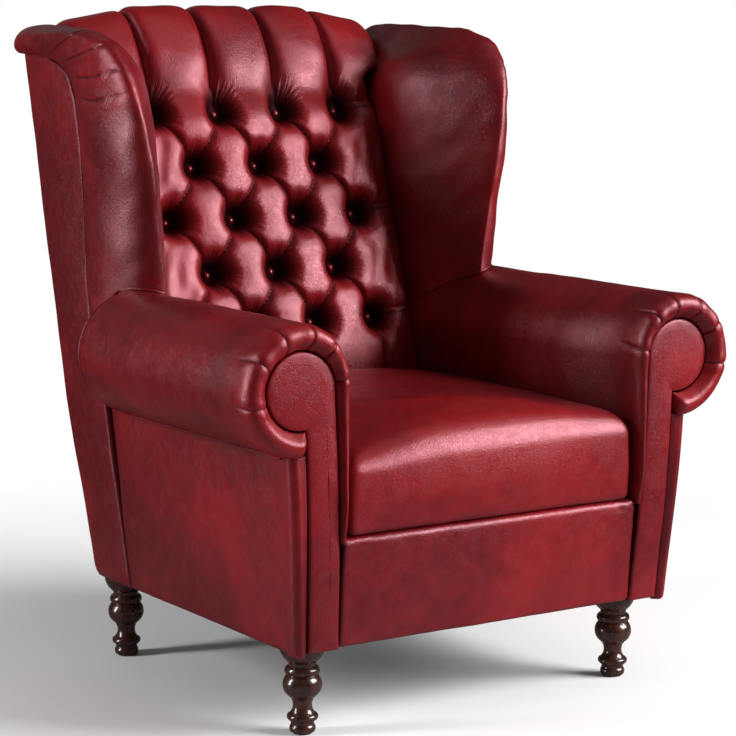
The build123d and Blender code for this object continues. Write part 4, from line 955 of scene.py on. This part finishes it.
def cushion():
    """Loose seat cushion: crowned, its sides drawn in between soft edges."""
    corners, faces = block_skin((96, 100, 30))
    half = np.array([CUSHION_HALF, CUSHION_DEPTH / 2, CUSHION_HEIGHT / 2])
    high = rounded(corners, half, CUSHION_ROUND, 7.0)
    low = rounded(corners, half, CUSHION_LOW_ROUND, 3.0)
    x, depth, up = (low + (high - low) * smooth_step(0.5 + 1.5 * corners[:, 2:3])).T
    across_share, depth_share = x / CUSHION_HALF, 2 * depth / CUSHION_DEPTH
    up_share = np.clip((up + half[2]) / CUSHION_HEIGHT, 0, 1)
    top = np.clip(corners[:, 2], 0, 1)
    level = np.clip(1 - (up / half[2]) ** 2, 0, 1)

    y = CUSHION_FRONT + CUSHION_DEPTH / 2 + depth
    middle = np.clip(1 - across_share**2, 0, 1) ** 0.75 * np.clip(1 - depth_share**4, 0, 1) ** 0.7
    rise = (y - CUSHION_FRONT) * math.tan(DECK_SLOPE) * up_share
    z = deck_z(y) + SOFT_GAP + half[2] + up + rise + CUSHION_CROWN * middle * top
    x = x - 1.5 * (1 - level) * across_share**7
    x = x * (1 + CUSHION_WIDER / CUSHION_HALF * smooth_step((200 - y) / 200))
    y = y + CUSHION_FRONT_FULL * level * np.clip(1 - (x / CUSHION_HALF) ** 4, 0, 1) * depth_share**15
    points = np.stack([x, y, z], 1)
    slump = CUSHION_SLUMP * smooth_step((-40 - x) / 215) ** 1.5
    slump = slump + CUSHION_LEFT_SLUMP * smooth_step((x - 150) / 100)
    points[:, 2] -= slump * smooth_step((260 - y) / 240) * up_share
    soft = 1.1 * ripples(points, 150, 91) + 0.35 * ripples(points, 55, 92)
    points[:, 2] += soft * top
    points[:, 1] += 0.6 * soft * smooth_step(-depth_share)
    points = leaned(points, CUSHION_DEPTH)
    wear = 0.35 + 0.4 * hump(depth + half[1], 18, 60)
    # Painted shade along the cushion's bottom edge, where it sits on the deck.
    return mesh_object("seat_cushion", points, faces, fold=0.6 * fading(up + half[2], 5.0), rub=wear)


def deck():
    """Sprung deck under the cushion: its pad and cover, with the seam where leather turns to cloth."""
    corners, faces = block_skin((60, 70, 8))
    half = (DECK_HALF, (DECK_REAR - DECK_FRONT) / 2, DECK_THICK / 2)
    x, depth, up = rounded(corners, half, 6.0).T
    y = DECK_FRONT + half[1] + depth
    seam = sum(fading(np.abs(y - place), 2.2) for place in DECK_SEAMS)
    top = deck_z(y) - half[2] + up - 1.0 - 1.4 * seam
    top = top + 0.6 * ripples(np.stack([x, y, 0 * x], 1), 70, 95) - 0.8
    z = np.where(corners[:, 2] > 0, top, DECK_BASE + (up + half[2]) * 0.9)
    points = np.stack([x, y, z], 1)
    # Painted shade in the seam grooves.
    return mesh_object("seat_deck", points, faces, fold=seam * 0.6, rub=np.zeros(len(x)))


# Finishes

# Hide: display colours from 0 to 255, heights in metres and scales per metre
# The last colour is painted shade, laid into folds, seams and the pockets round the buttons.
DARK, RED, PAINTED_SHADE = (88, 7, 14), (131, 16, 20), (18, 1, 2)
PEBBLE_SCALE, PEBBLE_HEIGHT, PEBBLE_EDGE = 420.0, 0.00011, 0.22
PORE_SCALE, PORE_HEIGHT = 1100.0, 0.00004
SOFT_SCALE, SOFT_HEIGHT = 210.0, 0.00030
RAY_SCALES, RAY_HEIGHT = (6.5, 6.5, 1.3), 0.0058
HIDE_ROUGH_LOW, HIDE_ROUGH_HIGH, FOLD_ROUGHNESS = 0.29, 0.39, 0.2
HIDE_SHEEN, FOLD_SHEEN, SHEEN_TINT = 0.95, 0.1, (1.0, 0.46, 0.54, 1.0)
COAT_ROUGHNESS = 0.22


def value_of(colour):
    """A display colour, written 0 to 255, as the light that it stands for."""
    return tuple(((c / 255 + 0.055) / 1.055) ** 2.4 if c > 10 else c / 255 / 12.92 for c in colour) + (1.0,)


def math_node(tree, operation, a, b=0.0, clamp=False):
    return node(tree, "ShaderNodeMath", {0: a, 1: b}, operation=operation, use_clamp=clamp).outputs[0]


def plus(tree, *values, clamp=False):
    total = values[0]
    for value in values[1:]:
        total = math_node(tree, "ADD", total, value, clamp and value is values[-1])
    return total


def times(tree, a, b, clamp=False):
    return math_node(tree, "MULTIPLY", a, b, clamp)


def mapped(tree, value, low, high, to_low=0.0, to_high=1.0):
    links = {"Value": value, "From Min": low, "From Max": high, "To Min": to_low, "To Max": to_high}
    return node(tree, "ShaderNodeMapRange", links, interpolation_type="SMOOTHSTEP").outputs[0]


def noise(tree, place, scale, detail=2.0, rough=0.5, distortion=0.0):
    links = {"Vector": place, "Scale": scale, "Detail": detail, "Roughness": rough, "Distortion": distortion}
    return node(tree, "ShaderNodeTexNoise", links).outputs[0]


def blend(tree, share, a, b):
    return node(tree, "ShaderNodeMix", {0: share, 6: a, 7: b}, data_type="RGBA").outputs[2]


def object_place(tree):
    return node(tree, "ShaderNodeTexCoord").outputs["Object"]


def field(tree, name, output="Fac"):
    return node(tree, "ShaderNodeAttribute", attribute_name=name).outputs[output]


def bump(tree, height, distance=1.0, strength=1.0):
    links = {"Height": height, "Distance": distance, "Strength": strength}
    return node(tree, "ShaderNodeBump", links).outputs[0]


def hide_group():
    """Rubbed two-tone hide: a dark dye over red, with painted shade in the folds, seams and button pockets,
    where its sheen is dimmed too, and with grain, fine creases and rays round the buttons."""
    group, given, result = named_tree(
        "rubbed_hide",
        "ShaderNodeTree",
        {"Dark": "Color", "Red": "Color", "Deep": "Color", "Patch size": "Float", "Redness": "Float",
         "Grain depth": "Float"},
        {"Color": "Color", "Roughness": "Float", "Sheen": "Float", "Normal": "Vector"},
    )
    place = object_place(group)
    fold, rub, near = (field(group, name) for name in ("fold", "rub", "near"))

    patches = mapped(group, noise(group, place, given["Patch size"], 2.5, 0.5, 0.6), 0.38, 0.70, 0.0, 0.75)
    mottle = mapped(group, noise(group, place, 34.0, 3.0, 0.55), 0.3, 0.7, -0.16, 0.16)
    redness = plus(group, patches, times(group, rub, 0.75), given["Redness"], mottle, clamp=True)
    colour = blend(group, redness, given["Dark"], given["Red"])
    # Painted shade: the colour goes dark in the folds, seams and pockets.
    colour = blend(group, times(group, fold, 0.95, True), colour, given["Deep"])

    links = {"Vector": place, "Scale": PEBBLE_SCALE}
    cells = node(group, "ShaderNodeTexVoronoi", links, feature="DISTANCE_TO_EDGE")
    pebble = mapped(group, cells.outputs["Distance"], 0.0, PEBBLE_EDGE)
    pores = noise(group, place, PORE_SCALE, 2.0, 0.6)
    soft = noise(group, place, SOFT_SCALE, 3.0, 0.6, 0.5)
    grain = plus(group, times(group, pebble, PEBBLE_HEIGHT), times(group, pores, PORE_HEIGHT),
                 times(group, soft, SOFT_HEIGHT))
    ray = {0: field(group, "ray", "Vector"), 1: RAY_SCALES}
    ray_place = node(group, "ShaderNodeVectorMath", ray, operation="MULTIPLY").outputs[0]
    streaks = times(group, times(group, noise(group, ray_place, 1.0, 3.0, 0.6, 0.2), near), RAY_HEIGHT)
    height = plus(group, times(group, grain, given["Grain depth"]), streaks)

    shine = mapped(group, noise(group, place, 60.0, 3.0, 0.6), 0.3, 0.7, HIDE_ROUGH_LOW, HIDE_ROUGH_HIGH)
    for title, value in (
        ("Color", colour),
        ("Roughness", plus(group, shine, times(group, fold, FOLD_ROUGHNESS))),
        # The sheen is dimmed there too, as painted shade on the shine.
        ("Sheen", mapped(group, fold, 0.0, 1.0, HIDE_SHEEN, FOLD_SHEEN)),
        ("Normal", bump(group, height)),
    ):
        group.links.new(value, result[title])
    return group


def new_material(name):
    material = bpy.data.materials.new(name)
    material.use_nodes = True
    tree = material.node_tree
    return material, tree, tree.nodes["Principled BSDF"]


def set_inputs(tree, shader, **values):
    """Gives the shader's inputs, named with low lines for spaces, a socket or a value."""
    for name, value in values.items():
        socket = shader.inputs[name.replace("_", " ")]
        if isinstance(value, bpy.types.NodeSocket):
            tree.links.new(value, socket)
        else:
            socket.default_value = value


def hide(name, group, patch, redness=0.0, grain=1.0, coat=0.0):
    material, tree, shader = new_material(name)
    surface = tree.nodes.new("ShaderNodeGroup")
    surface.node_tree = group
    set_inputs(tree, surface, Dark=value_of(DARK), Red=value_of(RED), Deep=value_of(PAINTED_SHADE),
               Patch_size=patch, Redness=redness, Grain_depth=grain)
    made = surface.outputs
    set_inputs(tree, shader, Base_Color=made["Color"], Roughness=made["Roughness"], Normal=made["Normal"],
               Specular_IOR_Level=made["Sheen"], Specular_Tint=SHEEN_TINT,
               Coat_Weight=coat, Coat_Roughness=COAT_ROUGHNESS)
    return material


def wood(name, dark, light, ring_scale, roughness, coat):
    """Straight-grained timber, its pores and bands running up the piece."""
    material, tree, shader = new_material(name)
    drawn = node(tree, "ShaderNodeMapping", {"Vector": object_place(tree), "Scale": (1, 1, 0.08)}).outputs[0]
    bands = noise(tree, drawn, ring_scale, 4.0, 0.6, 1.2)
    pores = noise(tree, drawn, ring_scale * 9, 2.0, 0.7)
    colour = blend(tree, mapped(tree, bands, 0.35, 0.68), value_of(dark), value_of(light))
    colour = blend(tree, mapped(tree, pores, 0.58, 0.75, 0.0, 0.45), colour, value_of(dark))
    rough = mapped(tree, pores, 0.3, 0.8, roughness - 0.05, roughness + 0.08)
    set_inputs(tree, shader, Base_Color=colour, Roughness=rough, Normal=bump(tree, pores, 0.00015, 0.6),
               Coat_Weight=coat, Coat_Roughness=0.08)
    return material


def plain(name, colour, other, scale, roughness, metallic=0.0):
    """A simple finish with uneven colour and a fine bump."""
    material, tree, shader = new_material(name)
    cloud = noise(tree, object_place(tree), scale, 3.0, 0.6)
    base = blend(tree, mapped(tree, cloud, 0.3, 0.7), value_of(colour), value_of(other))
    rough = mapped(tree, cloud, 0.2, 0.8, roughness - 0.06, roughness + 0.08)
    set_inputs(tree, shader, Base_Color=base, Roughness=rough, Normal=bump(tree, cloud, 0.0001, 0.5),
               Metallic=metallic)
    return material


def woven(name, colour, other, pitch, depth):
    """A plain weave of crossing yarns."""
    material, tree, shader = new_material(name)
    place = object_place(tree)
    split = node(tree, "ShaderNodeSeparateXYZ", {"Vector": place}).outputs
    across, along = (math_node(tree, "SINE", times(tree, split[axis], 2 * math.pi / pitch)) for axis in "XY")
    cross = mapped(tree, times(tree, across, along), -1.0, 1.0, 0.0, 0.6)
    shade = plus(tree, cross, mapped(tree, noise(tree, place, 400.0, 2.0, 0.6), 0.3, 0.7, 0.0, 0.4))
    set_inputs(tree, shader, Base_Color=blend(tree, shade, value_of(colour), value_of(other)),
               Normal=bump(tree, shade, depth, 0.8), Roughness=0.9, Sheen_Weight=0.2)
    return material


# Make the chair

hide_surface = hide_group()
leather = hide("oxblood_leather", hide_surface, 3.6)
button_leather = hide("button_leather", hide_surface, 8.0, 0.3, 0.4, 0.3)
leg_wood = wood("dark_turned_wood", (38, 17, 12), (66, 31, 22), 60.0, 0.26, 0.6)
frame_wood = wood("frame_beech", (150, 108, 70), (196, 156, 112), 40.0, 0.55, 0.0)
steel = plain("spring_steel", (120, 120, 122), (150, 150, 150), 90.0, 0.35, 1.0)
glide_plastic = plain("glide_plastic", (30, 28, 27), (46, 43, 42), 120.0, 0.45)
lining = woven("black_lining", (16, 16, 17), (34, 34, 36), 0.0012, 0.0002)
webbing = woven("jute_webbing", (128, 98, 62), (176, 142, 98), 0.004, 0.0006)


def finish(piece, replaced=(), body="chair", material=leather):
    """Gives a piece its finish and its body, and hides the solids that it stands for."""
    piece.data.materials.clear()
    piece.data.materials.append(material)
    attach(piece, body)
    if replaced:
        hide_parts(*replaced)


def both_sides(make, name, replaced=()):
    """The same piece on the sitter's left and right, each standing for its own solids."""
    for side, sign in (("left_", 1.0), ("right_", -1.0)):
        finish(make(side + name, sign), [side + node_name for node_name in replaced])


finish(inside_back(), ["back_pad"])
finish(buttons(button_leather), ["back_buttons"], material=button_leather)
both_sides(wing, "wing_padding", ["wing_pad"])
WELT_TREE = welt_tree()
both_sides(arm_welt, "arm_welt")
both_sides(arm, "arm_padding", ["arm_pad"])
both_sides(facing, "facing_panel", ["front_facing"])
both_sides(outside_arm, "outside_arm_panel", ["outside_arm"])
both_sides(outside_wing, "outside_wing_panel", ["outside_wing"])
finish(outside_back(), ["outside_back"])
finish(front_border(), ["front_border"])
finish(cushion(), ["cushion_cover", "cushion_core"], body="cushion")
finish(deck(), ["deck_cover", "deck_pad"])

NODE_FINISHES = (
    (leg_wood, ("_leg",)),
    (steel, ("leg_bolts", "tee_nuts", "seat_springs", "spring_clips")),
    (glide_plastic, ("foot_glides",)),
    (lining, ("dust_cover",)),
    (webbing, ("back_webbing",)),
)
for name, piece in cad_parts.items():
    if piece.hide_render:
        continue
    chosen = [material for material, endings in NODE_FINISHES if name.endswith(endings)] or [frame_wood]
    piece.data.materials.clear()
    piece.data.materials.append(chosen[0])


# Light, floor and camera, in metres

WORLD_LIGHT, WORLD_SHINE = 0.14, 0.04
FLOOR_REACH, FLOOR_FADE_START, FLOOR_FADE_END = 9.0, 0.55, 1.7
# Each light's place, the place it is turned to, its size and its power
LIGHTS = {
    "key": ((2.72, -2.72, 2.2), (0, 0, 0.6), (2.5, 1.8), 285),
    "left": ((-3.4, 0.95, 1.4), (0, 0, 0.8), (0.6, 2.4), 100),
    "overhead": ((0.5, -0.6, 4.0), (0, 0, 0.5), (2.0, 2.0), 10),
    "rear": ((0.2, 3.8, 2.6), (0, 0, 0.6), (2.6, 2.0), 2.5),
}
CAMERA_AZIMUTH, CAMERA_ELEVATION = math.radians(-33.23), math.radians(8.221)
CAMERA_PLACE = (-2.132, -3.342, 1.050)
CAMERA_LENS, CAMERA_SENSOR = 119.94, 36


def aimed(name, data, place, heading):
    """An object at a place, turned so that it looks along a heading."""
    holder = new_object(name, data)
    holder.location = place
    holder.rotation_euler = heading.to_track_quat("-Z", "Y").to_euler()
    return holder


def studio_world():
    """White to the camera, and a dim even light to everything else."""
    world = bpy.data.worlds.new("studio")
    bpy.context.scene.world = world
    world.use_nodes = True
    tree = world.node_tree
    tree.nodes.clear()
    path = node(tree, "ShaderNodeLightPath").outputs
    seen = math_node(tree, "MAXIMUM", path["Is Camera Ray"], path["Is Transmission Ray"])
    dim = mapped(tree, path["Is Glossy Ray"], 0.0, 1.0, WORLD_LIGHT, WORLD_SHINE)
    soft = node(tree, "ShaderNodeBackground", {"Color": (1, 1, 1, 1), "Strength": dim})
    white = node(tree, "ShaderNodeBackground", {"Color": (1, 1, 1, 1), "Strength": 1.0})
    mixed = node(tree, "ShaderNodeMixShader", {0: seen, 1: soft, 2: white})
    node(tree, "ShaderNodeOutputWorld", {"Surface": mixed})


def pale_floor():
    """Pale floor that fades into the white round it."""
    mesh = bpy.data.meshes.new("floor")
    corners = [(x * FLOOR_REACH, y * FLOOR_REACH, 0) for x, y in ((-1, -1), (1, -1), (1, 1), (-1, 1))]
    mesh.from_pydata(corners, [], [(0, 1, 2, 3)])
    material, tree, shader = new_material("pale_floor")
    glossy = node(tree, "ShaderNodeLightPath").outputs["Is Glossy Ray"]
    pale = blend(tree, glossy, (0.95, 0.95, 0.95, 1), (0.2, 0.2, 0.2, 1))
    links = {0: object_place(tree)}
    far = node(tree, "ShaderNodeVectorMath", links, operation="LENGTH").outputs["Value"]
    fade = mapped(tree, far, FLOOR_FADE_START, FLOOR_FADE_END, 1.0, 0.0)
    set_inputs(tree, shader, Base_Color=pale, Alpha=fade, Roughness=0.9)
    mesh.materials.append(material)
    floor = new_object("floor", mesh)


studio_world()
pale_floor()
for name, (place, target, size, power) in LIGHTS.items():
    lamp = bpy.data.lights.new(name, "AREA")
    lamp.shape = "RECTANGLE"
    lamp.size, lamp.size_y = size
    lamp.energy = power
    aimed(name, lamp, place, Vector(target) - Vector(place))

lens = bpy.data.cameras.new("camera")
lens.lens, lens.sensor_width, lens.clip_end = CAMERA_LENS, CAMERA_SENSOR, 60
heading = Vector((
    -math.sin(CAMERA_AZIMUTH) * math.cos(CAMERA_ELEVATION),
    math.cos(CAMERA_AZIMUTH) * math.cos(CAMERA_ELEVATION),
    -math.sin(CAMERA_ELEVATION),
))
bpy.context.scene.camera = aimed("camera", lens, CAMERA_PLACE, heading)
bpy.context.scene.view_settings.view_transform = "Standard"
